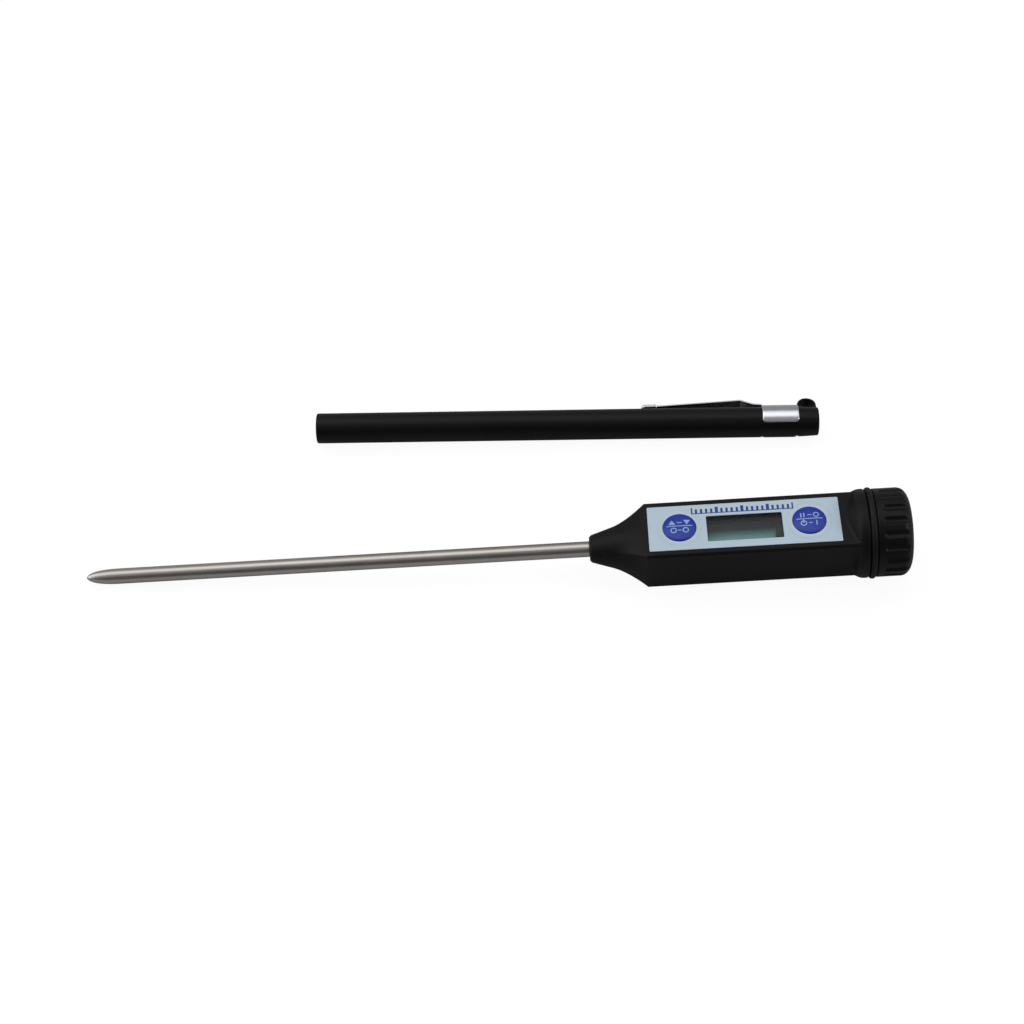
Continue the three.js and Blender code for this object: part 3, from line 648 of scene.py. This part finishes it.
def blue_key(name, side):
    """Deep blue doming with worn pale print under a soft gloss."""
    shader = Shader(name)
    x, y, _ = shader.axes()
    x = x - (AXIS_START.x / MM + KEY_CENTRES[side].x)
    clouds = shader.noise(per_mm=0.5, detail=4)
    fine = shader.noise(per_mm=6.0, detail=3)
    wear = shader.ramp(shader.noise(per_mm=2.2, detail=4, roughness=0.7), 0.2, 0.5)
    color = shader.mix(clouds, (0.008, 0.027, 0.3, 1), (0.017, 0.054, 0.42, 1))
    color = shader.mix(key_print(side, x, y) * wear, color, (0.34, 0.46, 0.74, 1))
    normal = shader.bump(fine + clouds, 0.008)
    return shader.finish(
        base_color=color, roughness=clouds * 0.12 + 0.2, coat_weight=0.3,
        coat_roughness=0.12, specular_ior_level=0.2, normal=normal)


def display_glass(name):
    """Reflective grey-green display, with painted shade toward its far side and along its right edge,
    where the window's walls shade it.
    """
    shader = Shader(name)
    x, y, _ = shader.axes()
    x = x - AXIS_START.x / MM
    clouds = shader.noise(per_mm=0.18, detail=3)
    color = shader.mix(clouds, (0.18, 0.41, 0.375, 1), (0.21, 0.46, 0.43, 1))
    # Painted shade: the display is darkened toward its far side and its right edge, standing in for the
    # shadow of the window's walls.
    painted_wall_shade = shader.ramp(y, WINDOW[2] + 2.2, WINDOW[3] - 1.8)
    painted_edge_shade = shader.ramp(x, WINDOW[1] - 2.2, WINDOW[1] - 1.3)
    color = shader.mix(painted_wall_shade.maximum(painted_edge_shade) * 0.94, color, (0.016, 0.018, 0.02, 1))
    middle = ((WINDOW[0] + WINDOW[1]) / 2, (WINDOW[2] + WINDOW[3]) / 2)
    digit_gap = 4.2
    across_digit = (x - middle[0]).wrapped(digit_gap)
    unlit_digits = hoop(across_digit, abs(y - middle[1]), (0, 1.2), 1.05, 0.3)
    color = shader.mix(unlit_digits * 0.05, color, (0.05, 0.07, 0.07, 1))
    normal = shader.bump(clouds, 0.01)
    return shader.finish(
        base_color=color, roughness=clouds * 0.1 + 0.22, specular_ior_level=0.1, normal=normal)


def clear_window(name):
    """Thin clear plastic: it lets light straight through and mirrors a little at its face."""
    shader = Shader(name)
    smears = shader.noise(per_mm=0.5, detail=5, roughness=0.6)
    normal = shader.bump(smears, 0.001)
    mirror = shader.node("ShaderNodeFresnel", {"IOR": 1.4, "Normal": normal}).outputs[0]
    through = shader.node("ShaderNodeBsdfTransparent", {"Color": (0.93, 0.94, 0.95, 1)})
    sheen = shader.node("ShaderNodeBsdfGlossy", {
        "Color": (1, 1, 1, 1), "Roughness": smears * 0.1 + 0.12, "Normal": normal})
    both = shader.node("ShaderNodeMixShader", {
        0: Field(shader, mirror) * 0.45, 1: through.outputs[0], 2: sheen.outputs[0]})
    shader.tree.links.new(both.outputs[0], shader.output.inputs["Surface"])
    shader.tree.nodes.remove(shader.surface)
    return shader.material


def solder_mask(name):
    """Green board with darker gaps between paler copper tracks, and tinned pads."""
    shader = Shader(name)
    x, y, _ = shader.axes()
    wander = shader.noise(per_mm=0.25, detail=1)
    tracks = (y + wander * 3.0).wrapped(1.1).below(0.2)
    pads = hoop(x.wrapped(3.0), y.wrapped(2.4), (0, 0), 0.0, 0.9)
    mottled = shader.noise(per_mm=1.5, detail=4)
    color = shader.mix(mottled, (0.012, 0.085, 0.03, 1), (0.02, 0.13, 0.05, 1))
    color = shader.mix(tracks, color, (0.035, 0.2, 0.075, 1))
    color = shader.mix(pads, color, (0.55, 0.53, 0.48, 1))
    normal = shader.bump(tracks + pads, 0.03)
    return shader.finish(
        base_color=color, metallic=pads * 0.9, roughness=mottled * 0.2 + 0.25, normal=normal)


HOUSING_BLACK = black_plastic("housing_black")
CAP_BLACK = black_plastic("cap_black", grain=0.7, shine=0.03)
SHEATH_BLACK = black_plastic("sheath_black", grain=0.5, shine=0.05)
INNER_BLACK = black_plastic("inner_black", grain=0.8)
RUBBER = black_rubber("rubber_black")
STEEL = polished_steel("stem_steel")
NICKEL = bright_nickel("clip_nickel")
SPRING = spring_metal("contact_steel", (0.42, 0.41, 0.38, 1), (0.62, 0.61, 0.58, 1))
BRASS = spring_metal("bush_brass", (0.42, 0.24, 0.07, 1), (0.62, 0.4, 0.14, 1))
FILM = printed_film("label_print")
LCD = display_glass("display_glass")
CLEAR = clear_window("window_clear")
BOARD = solder_mask("board_green")
RESIN = tinted_plastic("chip_resin", (0.006, 0.006, 0.006, 1), (0.016, 0.015, 0.015, 1), 0.18)
CERAMIC = tinted_plastic("chip_ceramic", (0.24, 0.16, 0.09, 1), (0.36, 0.26, 0.16, 1), 0.45)
BEAD = tinted_plastic("sensor_glass", (0.3, 0.03, 0.015, 1), (0.45, 0.07, 0.03, 1), 0.1)
RED_SLEEVE = tinted_plastic("sleeve_red", (0.3, 0.012, 0.012, 1), (0.42, 0.03, 0.025, 1), 0.4)
WHITE_SLEEVE = tinted_plastic("sleeve_white", (0.6, 0.58, 0.52, 1), (0.75, 0.73, 0.68, 1), 0.4)

# ---- stem


def tip_radius(share):
    """Radius of the blunt tip at a share of its length: full at the point, then easing into the tube."""
    return STEM_RADIUS * (1 - (1 - share) ** 3) ** TIP_BLUNTNESS


def stem_shape():
    """The tube with its closed point, the bore drawn to a cone behind it."""
    steps = 30
    shares = [(step / steps) ** 2 for step in range(1, steps + 1)]
    outside = [(STEM_TIP, 0)] + [(STEM_TIP + share * TIP_LENGTH, tip_radius(share)) for share in shares]
    bore_end = STEM_TIP + TIP_LENGTH
    mouth = filleted([
        outside[-1], (STEM_INNER_END, STEM_RADIUS, 0.08), (STEM_INNER_END, STEM_BORE, 0.08),
        (bore_end + 1.5, STEM_BORE), (bore_end, 0)])
    return turned(outside + list(mouth[1:]), 72)


place(raw("stem", stem_shape()), "thermometer", STEEL, "stem_tube")

# ---- housing


def body_outline():
    """Points round the body's rectangular section, as (y, z)."""
    return dense(filleted([
        (-BODY_HALF_WIDTH, BODY_BACK, BODY_EDGE), (BODY_HALF_WIDTH, BODY_BACK, BODY_EDGE),
        (BODY_HALF_WIDTH, BODY_TOP, BODY_EDGE), (-BODY_HALF_WIDTH, BODY_TOP, BODY_EDGE)],
        closed=True, steps=8), 0.45, closed=True)


def shoulder_path():
    """The turned surface that rises from the flats to the collar's bead and its end face."""
    return filleted([
        (SHOULDER_START - 1.5, 3.25),
        (SHOULDER_START, 5.8),
        (SHOULDER_START + 2.72, COLLAR_RADIUS, 2.1),
        (COLLAR_END, COLLAR_RADIUS, 0.55),
        (COLLAR_END + 0.001, RING_LAND_RADIUS)], steps=10)


def thread_height(x, angles, start):
    """Height of a rounded screw ridge at a place on a turned surface, fading out at both ends."""
    turn = angles / (2 * math.pi)
    passed = (x - start) / THREAD_PITCH - turn
    nearest = np.round(passed)
    offset = np.abs(passed - nearest) * THREAD_PITCH
    along = nearest + turn
    run_out = 0.12
    half_width = THREAD_HEIGHT * 1.35
    fade = smooth_step(np.minimum(along, THREAD_TURNS - along) / run_out)
    crest = np.cos(np.clip(offset / half_width, 0, 1) * math.pi / 2) ** 1.5
    return THREAD_HEIGHT * fade * crest


def housing_rows():
    """Rings of points along the shell, from the nose over the flare and the body to the neck's end."""
    flare_step, shoulder_step, thread_step = 0.2, 0.08, 0.11
    shoulder_fillet = 0.9
    outline = np.array(body_outline())
    angles = np.arctan2(outline[:, 1], outline[:, 0]) % (2 * math.pi)
    outline_radius = np.hypot(outline[:, 0], outline[:, 1])
    cone_at_body = NOSE_RADIUS + NOSE_TAPER * BODY_START
    shoulder = np.array(shoulder_path())

    def row(x, radius):
        along = np.full(len(angles), x)
        return np.stack([along, radius * np.cos(angles), radius * np.sin(angles)], 1)

    def flare(x):
        cone = NOSE_RADIUS + NOSE_TAPER * x
        share = np.clip((x - FLARE_START) / (BODY_START - FLARE_START), 0, 1) ** FLARE_POWER
        return cone + (outline_radius - cone_at_body) * share

    def on_body(x):
        rise = np.interp(x, shoulder[:, 0], shoulder[:, 1])
        return smooth_max(outline_radius, rise, shoulder_fillet)

    nose = filleted([(0, 1.0), (0, 2.75, 0.12), (0.5, NOSE_RADIUS + NOSE_TAPER * 0.5, 0.2),
                     (1.2, NOSE_RADIUS + NOSE_TAPER * 1.2)])
    rows = [np.array([[0, 0, 0]])]
    rows += [row(x, radius) for x, radius in nose]
    rows += [row(x, flare(x)) for x in np.arange(1.5, BODY_START - 0.1, flare_step)]
    rows += [row(x, outline_radius) for x in np.linspace(BODY_START, SHOULDER_START - 1.4, 14)]
    shoulder_places = np.arange(SHOULDER_START - 1.2, COLLAR_END - 0.3, shoulder_step)
    rows += [row(x, on_body(x)) for x in shoulder_places]
    bead_end = [point for point in shoulder if point[0] > COLLAR_END - 0.3]
    rows += [row(x, radius) for x, radius in bead_end]
    rows += [row(x, RING_LAND_RADIUS) for x in (COLLAR_END + 0.02, CAP_START - 0.05)]
    neck_places = np.arange(CAP_START - 0.03, NECK_END - 0.4, thread_step)
    rows += [row(x, NECK_RADIUS + thread_height(x, angles, THREAD_START)) for x in neck_places]
    rim = filleted([(NECK_END - 0.35, NECK_RADIUS), (NECK_END, NECK_RADIUS - 0.35, 0.1), (NECK_END, 6.0)])
    rows += [row(x, radius) for x, radius in rim]
    rows.append(np.array([[NECK_END, 0, 0]]))
    return rows


def rod(low, high, radius, columns):
    """A plain cylinder along X."""
    return turned([(low, 0), (low, radius), (high, radius), (high, 0)], columns)


def upright_rod(x, radius, low, high):
    return upright(rod(low, high, radius, 128), x, 0)


def along_x(outline, x0, x1):
    """A bar along X over an outline of (y, z)."""
    outline = np.array(outline)
    return capped([np.column_stack([np.full(len(outline), x), outline]) for x in (x0, x1)])


def build_housing():
    """The moulded shell, hollow for the board, the stem and the battery, and open to the label's side."""
    cavity_start = BODY_START + 1.5
    bore_start = SHOULDER_START + 1.6
    bore_radius = 7.2
    under_top_wall = 4.0
    above = BODY_TOP + 1
    stem_fit = STEM_RADIUS + 0.05
    board_room = along_x(rectangle(-6.25, 6.25, -4.8, 4.85, 0.5), cavity_start, bore_start + 1)
    battery_bore = turned([
        (bore_start, 0), (bore_start, bore_radius), (NECK_END - 0.3, bore_radius),
        (NECK_END + 0.2, bore_radius + 0.5), (NECK_END + 0.2, 0)], 96)
    bush_bore = rod(7, cavity_start + 1, 3.2, 64)
    stem_hole = turned([
        (-0.2, 0), (-0.2, STEM_RADIUS + 0.3), (0.1, stem_fit), (cavity_start, stem_fit),
        (cavity_start, 0)], 72)
    label_recess = slab(rectangle(*LABEL, 0.35, grow=0.06), label_low.z, above)
    display_hole = slab(rectangle(*WINDOW, 0.3), under_top_wall, above)
    lens_seat = slab(rectangle(*WINDOW, 0.8, grow=LENS_MARGIN + 0.05), lens_low.z - 0.03, above)
    key_holes = [
        upright_rod(centre.x, KEY_RADIUS + 0.14, under_top_wall, above) for centre in KEY_CENTRES.values()]
    cuts = [board_room, battery_bore, bush_bore, stem_hole, label_recess, display_hole, lens_seat]
    thing = raw("housing_shell", skin(housing_rows()))
    combine(thing, cuts + key_holes, "DIFFERENCE")
    return thing


place(build_housing(), "thermometer", HOUSING_BLACK, "housing", crease=38)

# ---- label and keys


def build_label():
    """The film, cut out for the display and for both keys."""
    thing = raw("label", slab(rectangle(*LABEL, 0.3), label_low.z, label_high.z, 0.05))
    under, over = label_low.z - 1, label_high.z + 1
    holes = [upright_rod(centre.x, KEY_RADIUS + 0.1, under, over) for centre in KEY_CENTRES.values()]
    holes.append(slab(rectangle(*WINDOW, 0.25), under, over))
    combine(thing, holes, "DIFFERENCE")
    return thing


place(build_label(), "thermometer", FILM, "label_film")


def key_shape(centre):
    """A domed key that turns over softly at its rim, with the flange and post below."""
    edge = BODY_TOP + 0.12
    flange_top = BODY_TOP - 1.95
    flange_foot = flange_top - 0.5
    post_radius = 1.3
    under = filleted([
        (KEY_FOOT, 0), (KEY_FOOT, post_radius, 0.15), (flange_foot, post_radius, 0.2),
        (flange_foot, FLANGE_RADIUS, 0.12), (flange_top, FLANGE_RADIUS, 0.12),
        (flange_top, KEY_RADIUS, 0.1), (edge - 0.3, KEY_RADIUS)])
    steps = 28
    dome = []
    for step in range(steps + 1):
        share = math.cos(step / steps * math.pi / 2)
        height = edge + (KEY_CROWN - edge) * (1 - share ** 4) ** 0.75
        dome.append((height, KEY_RADIUS * share))
    dome[-1] = (KEY_CROWN, 0)
    return upright(turned(list(under) + dome, 128), centre.x, 0)


for side, centre in KEY_CENTRES.items():
    look = blue_key(f"{side}_key_blue", side)
    key = raw(f"{side}_key_dome", key_shape(centre))
    place(key, f"{side}_key", look, f"{side}_button")

# ---- seal ring and battery cap


def seal_ring_shape():
    steps = 40
    section = [(RING_X + RING_SECTION * math.cos(2 * math.pi * k / steps),
                RING_RADIUS + RING_SECTION * math.sin(2 * math.pi * k / steps)) for k in range(steps)]
    return turned(section, 160, loop=True)


ring = raw("neck_seal", seal_ring_shape())
place(ring, "thermometer", RUBBER, "seal_ring")


def flute_depth(x, radius, angles):
    """How deep the finger grooves cut a turned surface: round-nosed, running out over the cap's end."""
    tool = 1.0
    tool_centre = CAP_RADIUS + 0.46
    inner_end = FLUTE_START + tool
    spacing = 2 * math.pi / FLUTES
    offset = (angles - FLUTE_TURN + spacing / 2) % spacing - spacing / 2
    across = np.abs(offset) * radius
    away = np.hypot(across, max(0.0, inner_end - x))
    bottom = tool_centre - np.sqrt(np.clip(tool ** 2 - away ** 2, 0, None))
    bottom = np.where(away < tool, bottom, tool_centre + away)
    return radius + smooth_max(np.full_like(angles, -radius), -bottom, 0.06)


def cap_shift(x, radius, angles):
    """What the cap's turned surface gains: the thread in its bore and the grooves round its outside."""
    on_bore = CAP_BORE - 0.1 < radius < CAP_BORE + 0.1
    if on_bore and x < CAP_FLOOR - 0.05:
        return -thread_height(x, angles, THREAD_START + THREAD_PITCH / 2)
    if radius > CAP_BORE + 0.5:
        return -flute_depth(x, radius, angles)
    return np.zeros_like(angles)


def cap_shape():
    """The cap's closed section: fluted wall, rounded crown, and a floor with a groove for the holder."""
    wall = filleted([
        (CAP_START, CAP_BORE), (CAP_START, CAP_RADIUS, 0.3), (CAP_END - CROWN_DEPTH, CAP_RADIUS)])
    outside = dense(wall, 0.16)
    crown_steps = 24
    for step in range(1, crown_steps + 1):
        angle = step / crown_steps * math.pi / 2
        x = CAP_END - CROWN_DEPTH * (1 - math.sin(angle))
        outside.append((x, CAP_RADIUS - CROWN_WIDTH * (1 - math.cos(angle))))
    outside.append((CAP_END, 0))
    pad = CAP_FLOOR - 0.6
    rib = CAP_FLOOR - 1.25
    rib_inner, rib_outer = 6.95, 7.7
    floor = filleted([
        (pad, 0), (pad, 5, 0.15), (CAP_FLOOR, 5.3, 0.1), (CAP_FLOOR, rib_inner, 0.1),
        (rib, rib_inner, 0.1), (rib, rib_outer, 0.1), (CAP_FLOOR, rib_outer, 0.1),
        (CAP_FLOOR, CAP_BORE)])
    bore = dense([np.array((CAP_FLOOR, CAP_BORE)), np.array((CAP_START, CAP_BORE))], 0.13)
    return turned(list(outside) + list(floor) + bore[1:-1], 20 * FLUTES, cap_shift, loop=True)


place(raw("screw_cap", cap_shape()), "cap", CAP_BLACK, "battery_cap")

# ---- battery and contact plate


def battery_shape():
    """A button cell: the narrower lid, the crimped step beside it and the can."""
    low, high = corners("battery_cell")
    radius = high.y
    crimp = low.x + 0.85
    return turned(filleted([
        (low.x, 0), (low.x, 4.6, 0.25), (crimp, 4.95, 0.1), (crimp, radius - 0.05, 0.12),
        (low.x + 1.4, radius, 0.1), (high.x, radius, 0.45), (high.x, 0)]), 120)


def contact_shape():
    """A disc with a raised middle that presses on the cell."""
    low, high = corners("cap_contact")
    disc_face = high.x - 0.3
    return turned(filleted([
        (low.x, 0), (low.x, 1.7, 0.3), (disc_face, 2.4, 0.2), (disc_face, high.y, 0.1),
        (high.x, high.y, 0.1), (high.x, 0)]), 96)


cell = raw("button_cell", battery_shape())
place(cell, "thermometer", NICKEL, "battery_cell")
contact = raw("contact_disc", contact_shape())
place(contact, "contact_plate", SPRING, "cap_contact")

# ---- sheath


def sheath_shape():
    """The tube's closed section, with the shallow seat that holds the clip's band."""
    seat_start = BAND_START - 0.12
    seat_end = BAND_END + 0.12
    outside = filleted([
        (0, 0), (0, SHEATH_RADIUS, 0.4), (seat_start, SHEATH_MOUTH_RADIUS, 0.1),
        (seat_start, BAND_SEAT, 0.05), (seat_end, BAND_SEAT, 0.05),
        (seat_end, SHEATH_MOUTH_RADIUS - 0.05, 0.1), (SHEATH_LENGTH, SHEATH_LIP, 0.35),
        (SHEATH_LENGTH, SHEATH_BORE + 0.25, 0.1), (SHEATH_LENGTH - 0.6, SHEATH_BORE, 0.1),
        (5, SHEATH_BORE), (3, 0)])
    return turned(dense(list(outside), 6.0), 112)


def across(path, x, z):
    """A shape turned about a line along Y, from a path of (y, radius)."""
    points, faces = turned(path, 72)
    return np.stack([x + points[:, 1], points[:, 0], z + points[:, 2]], 1), faces


def loop_shapes():
    """The lug by the mouth: a round head on a straight foot, rounded at its edges, and its hole."""
    middle = SHEATH_LENGTH - LOOP_RADIUS - 0.1
    centre = np.array([middle, LOOP_HEIGHT])
    turn = np.linspace(0, math.pi, 33)
    head = centre + LOOP_RADIUS * np.column_stack([np.cos(turn), np.sin(turn)])
    inside_wall = 2.6
    foot = np.array([(middle - LOOP_RADIUS, inside_wall), (middle + LOOP_RADIUS, inside_wall)])
    outline = np.vstack([head, foot])
    edge = 0.22
    rows = []
    for side in (-1, 1):
        for lean in np.linspace(0, math.pi / 2, 5)[::-side]:
            y = side * (LOOP_HALF_LENGTH - edge * (1 - math.cos(lean)))
            shrunk = centre + (outline - centre) * (1 - edge * (1 - math.sin(lean)) / LOOP_RADIUS)
            rows.append(np.column_stack([shrunk[:, 0], np.full(len(shrunk), y), shrunk[:, 1]]))
    lip = LOOP_HALF_LENGTH + 0.1
    bevel = 0.2
    hole_path = filleted([
        (-lip, 0), (-lip, LOOP_HOLE + bevel), (-lip + bevel, LOOP_HOLE, 0.1),
        (lip - bevel, LOOP_HOLE, 0.1), (lip, LOOP_HOLE + bevel), (lip, 0)])
    return capped(rows), across(hole_path, middle, LOOP_HEIGHT)


def build_sheath():
    lug, hole = loop_shapes()
    thing = raw("sheath_sleeve", sheath_shape())
    combine(thing, [lug], "UNION")
    combine(thing, [hole], "DIFFERENCE")
    return thing


place(build_sheath(), "sheath", SHEATH_BLACK, "sheath_tube", crease=38)

# ---- pocket clip


def sheet(grid, thickness):
    """A thick sheet over a grid of middle points, shape (rows, columns, 3), with rounded edges.

    The thickness is one number, or one for each row.
    """
    along = np.gradient(grid, axis=0)
    over = np.gradient(grid, axis=1)
    normal = np.cross(along, over)
    normal /= np.linalg.norm(normal, axis=2)[:, :, None]
    outward = over / np.linalg.norm(over, axis=2)[:, :, None]
    rim_lean = [math.pi * step / 5 for step in range(1, 5)]
    halves = np.broadcast_to(thickness, len(grid)) / 2
    rows = []
    for middle, up, out, half in zip(grid, normal, outward, halves):
        right = [middle[-1] + half * (up[-1] * math.cos(a) + out[-1] * math.sin(a)) for a in rim_lean]
        left = [middle[0] - half * (up[0] * math.cos(a) + out[0] * math.sin(a)) for a in rim_lean]
        above, below = middle + up * half, (middle - up * half)[::-1]
        rows.append(np.vstack([above, right, below, left]))
    return capped(rows)


def band_shape():
    """The open band: a sheet bent round the tube and turned a little on it, with rounded free ends."""
    radius = BAND_RADIUS - BAND_SHEET / 2
    middle = (BAND_START + BAND_END) / 2
    half_length = (BAND_END - BAND_START) / 2 - BAND_SHEET / 2
    half_girth = BAND_WRAP * radius
    corner = 0.8
    turn = np.linspace(0, math.pi / 2, 10)[1:]
    rounded = half_girth - corner * (1 - np.cos(turn[::-1]))
    flat = np.linspace(corner - half_girth, half_girth - corner, 100)
    girths = np.concatenate([-rounded[::-1], flat, rounded])
    girths = np.unique(np.round(girths, 6))
    grid = []
    for girth in girths:
        past = max(0.0, abs(girth) - (half_girth - corner))
        length = half_length - (corner - math.sqrt(max(0.0, corner ** 2 - past ** 2)))
        angle = girth / radius + BAND_TURN
        y, z = -radius * math.sin(angle), radius * math.cos(angle) + BAND_OFFSET
        grid.append([(middle + length * s, y, z) for s in np.linspace(-1, 1, 25)])
    return sheet(np.array(grid), BAND_SHEET)


def clip_arm_shape():
    """The sprung arm: up from the band to a sharp crest and back down, with its tip folded double."""
    root = (BAND_START + 0.3, BAND_RADIUS + BAND_OFFSET - BAND_SHEET / 2)
    rise = (SHEATH_LENGTH - 15.2, 4.5, 0.8)
    crest = (SHEATH_LENGTH - 18.9, 6.25, 0.7)
    heel = (SHEATH_LENGTH - 39.4, 4.47, 4.0)
    tip = (SHEATH_LENGTH - 43.7, 4.34)
    side_view = np.array(dense(filleted([root, rise, crest, heel, tip]), 0.3))
    steps = np.linalg.norm(np.diff(side_view, axis=0), axis=1)
    travelled = np.concatenate([[0], np.cumsum(steps)])
    spread = np.linspace(-1, 1, 15)
    corner = 0.9
    root_flare, flare_length = 0.4, 3.0
    grid = []
    thickness = []
    for (x, z), gone in zip(side_view, travelled):
        half_width = CLIP_HALF_WIDTH + root_flare * smooth_step(1 - gone / flare_length)
        ahead = travelled[-1] - gone
        if ahead < corner:
            half_width -= corner - math.sqrt(corner ** 2 - (corner - ahead) ** 2)
        crown = 0.1 * (1 - spread ** 2)
        grid.append([(x, half_width * s, z + c) for s, c in zip(spread, crown)])
        hem = smooth_step((FOOT_LENGTH - ahead) / 0.3) * smooth_step(ahead / 0.2)
        thickness.append(CLIP_SHEET + (FOOT_SHEET - CLIP_SHEET) * hem)
    return sheet(np.array(grid), np.array(thickness))


place(raw("clip_ring", band_shape()), "sheath", NICKEL, "clip_band", crease=50)
place(raw("clip_tongue", clip_arm_shape()), "clip", NICKEL, "clip_arm", crease=50)

# ---- looks of the CAD nodes that stay

CAD_LOOKS = (
    (CLEAR, ["display_window"]),
    (LCD, ["lcd_panel"]),
    (INNER_BLACK, ["lcd_frame", "battery_holder"]),
    (RUBBER, ["lcd_contact_strip", "nose_seal", "left_switch_plunger", "right_switch_plunger"]),
    (BOARD, ["circuit_board"]),
    (RESIN, ["chip_blob", "left_switch_body", "right_switch_body"]),
    (CERAMIC, ["capacitor_1", "capacitor_2", "resistor_1", "resistor_2"]),
    (SPRING, ["timing_crystal", "negative_spring", "positive_strip"]),
    (BEAD, ["thermistor_bead"]),
    (RED_SLEEVE, ["sensor_lead_red"]),
    (WHITE_SLEEVE, ["sensor_lead_white"]),
    (BRASS, ["stem_bush"]),
)
for look, node_names in CAD_LOOKS:
    for node_name in node_names:
        NODES[node_name].data.materials.clear()
        NODES[node_name].data.materials.append(look)

# ---- stage, light and camera

FLOOR_GAP = 0.4
FLOOR_GLOW = 0.94
CAMERA_PLACE = Vector((6.06, -272.33, 384.81))
CAMERA_TURN = (36.354, 4.314, -0.980)
CAMERA_LENS = 70.31
CAMERA_SENSOR = 36.0
PANEL_LEAN = math.radians(18)
PANEL_INNER = math.sin(math.radians(8))
PANEL_OUTER = math.sin(math.radians(34))
PANEL_LEVEL = 1.3
STUDIO_LEVEL = 0.34
DARK_LEVEL = 0.1
TIP_SIDE_GAIN = 0.4


def table_slope():
    """The table follows the line under the stem and the seal ring, so it falls away toward the cap."""
    return (-corners("seal_ring")[0].z - STEM_RADIUS) / (RING_X - STEM_TIP)


def add_floor():
    """A plain table, FLOOR_GAP below that line because the clip's band hangs lower.

    The camera sees it lit from within, almost white. Reflections see it mid-grey.
    """
    half = 4.0
    slope = table_slope()
    mesh = bpy.data.meshes.new("table")
    height = -STEM_RADIUS + slope * STEM_TIP
    square = [(-half, -half, 0), (half, -half, 0), (half, half, 0), (-half, half, 0)]
    mesh.from_pydata(square, [], [(0, 1, 2, 3)])
    floor = bpy.data.objects.new("table", mesh)
    bpy.context.scene.collection.objects.link(floor)
    floor.rotation_euler = (0, math.atan(slope), 0)
    floor.location = AXIS_START + Vector((0, 0, (height - FLOOR_GAP) * MM))
    shader = Shader("table_white")
    paper = shader.noise(per_mm=0.6, detail=4)
    seen = Field(shader, shader.node("ShaderNodeLightPath").outputs["Is Camera Ray"])
    dim = shader.mix(paper, (0.46, 0.46, 0.46, 1), (0.5, 0.5, 0.5, 1))
    color = shader.mix(seen, dim, (0.1, 0.1, 0.1, 1))
    shader.finish(base_color=color, roughness=0.8, specular_ior_level=0.0,
                  emission_color=(1, 1, 1, 1), emission_strength=seen * FLOOR_GLOW)
    floor.data.materials.append(shader.material)


def add_light(name, place_mm, aim_mm, size_mm, watts):
    """A square soft box."""
    data = bpy.data.lights.new(name, "AREA")
    data.size = size_mm * MM
    data.energy = watts
    light = bpy.data.objects.new(name, data)
    bpy.context.scene.collection.objects.link(light)
    light.location = Vector(place_mm) * MM
    aim = Vector(aim_mm) * MM - light.location
    light.rotation_euler = aim.to_track_quat("-Z", "Y").to_euler()


def add_sky():
    """A dim studio with one long bright panel overhead, along X and leaning away from the camera.

    The studio is darkest behind the camera, and everything in it is brighter toward the stem's tip.
    The camera itself sees it plain white.
    """
    world = bpy.data.worlds.new("studio")
    bpy.context.scene.world = world
    world.use_nodes = True
    tree = world.node_tree
    background = tree.nodes["Background"]
    background.inputs["Color"].default_value = (1, 1, 1, 1)
    direction = tree.nodes.new("ShaderNodeTexCoord").outputs["Generated"]
    split = tree.nodes.new("ShaderNodeSeparateXYZ")
    tree.links.new(direction, split.inputs[0])

    def measure(operation, first, second=0.0, third=0.0):
        node = tree.nodes.new("ShaderNodeMath")
        node.operation = operation
        for socket, value in zip(node.inputs, (first, second, third)):
            if isinstance(value, bpy.types.NodeSocket):
                tree.links.new(value, socket)
            else:
                socket.default_value = value
        return node.outputs[0]

    def ramp(value, low, high, out_low, out_high):
        node = tree.nodes.new("ShaderNodeMapRange")
        node.interpolation_type = "SMOOTHSTEP"
        tree.links.new(value, node.inputs[0])
        for socket, number in zip(node.inputs[1:5], (low, high, out_low, out_high)):
            socket.default_value = number
        return node.outputs[0]

    across = measure("MULTIPLY", split.outputs[1], math.cos(PANEL_LEAN))
    off_panel = measure("MULTIPLY_ADD", split.outputs[2], -math.sin(PANEL_LEAN), across)
    panel = ramp(measure("ABSOLUTE", off_panel), PANEL_OUTER, PANEL_INNER, 0, PANEL_LEVEL - STUDIO_LEVEL)
    studio = ramp(split.outputs[1], -0.74, -0.4, DARK_LEVEL, STUDIO_LEVEL)
    tip_side = measure("MULTIPLY_ADD", split.outputs[0], -TIP_SIDE_GAIN, 1.0)
    strength = measure("MULTIPLY", measure("ADD", panel, studio), tip_side)
    seen = tree.nodes.new("ShaderNodeLightPath").outputs["Is Camera Ray"]
    tree.links.new(measure("MAXIMUM", strength, seen), background.inputs["Strength"])


def add_camera():
    """The viewpoint: from in front and above, with a long lens."""
    data = bpy.data.cameras.new("camera")
    data.sensor_width = CAMERA_SENSOR
    data.lens = CAMERA_LENS
    camera = bpy.data.objects.new("camera", data)
    bpy.context.scene.collection.objects.link(camera)
    camera.location = AXIS_START + CAMERA_PLACE * MM
    camera.rotation_euler = [math.radians(angle) for angle in CAMERA_TURN]
    bpy.context.scene.camera = camera


add_floor()
add_light("key_softbox", place_mm=(-60, 160, 640), aim_mm=(-20, 0, 0), size_mm=420, watts=0.12)
add_light("glint", place_mm=(520, -110, 310), aim_mm=(10, 0, 6), size_mm=110, watts=0.5)
add_sky()
add_camera()
bpy.context.scene.view_settings.view_transform = "Standard"
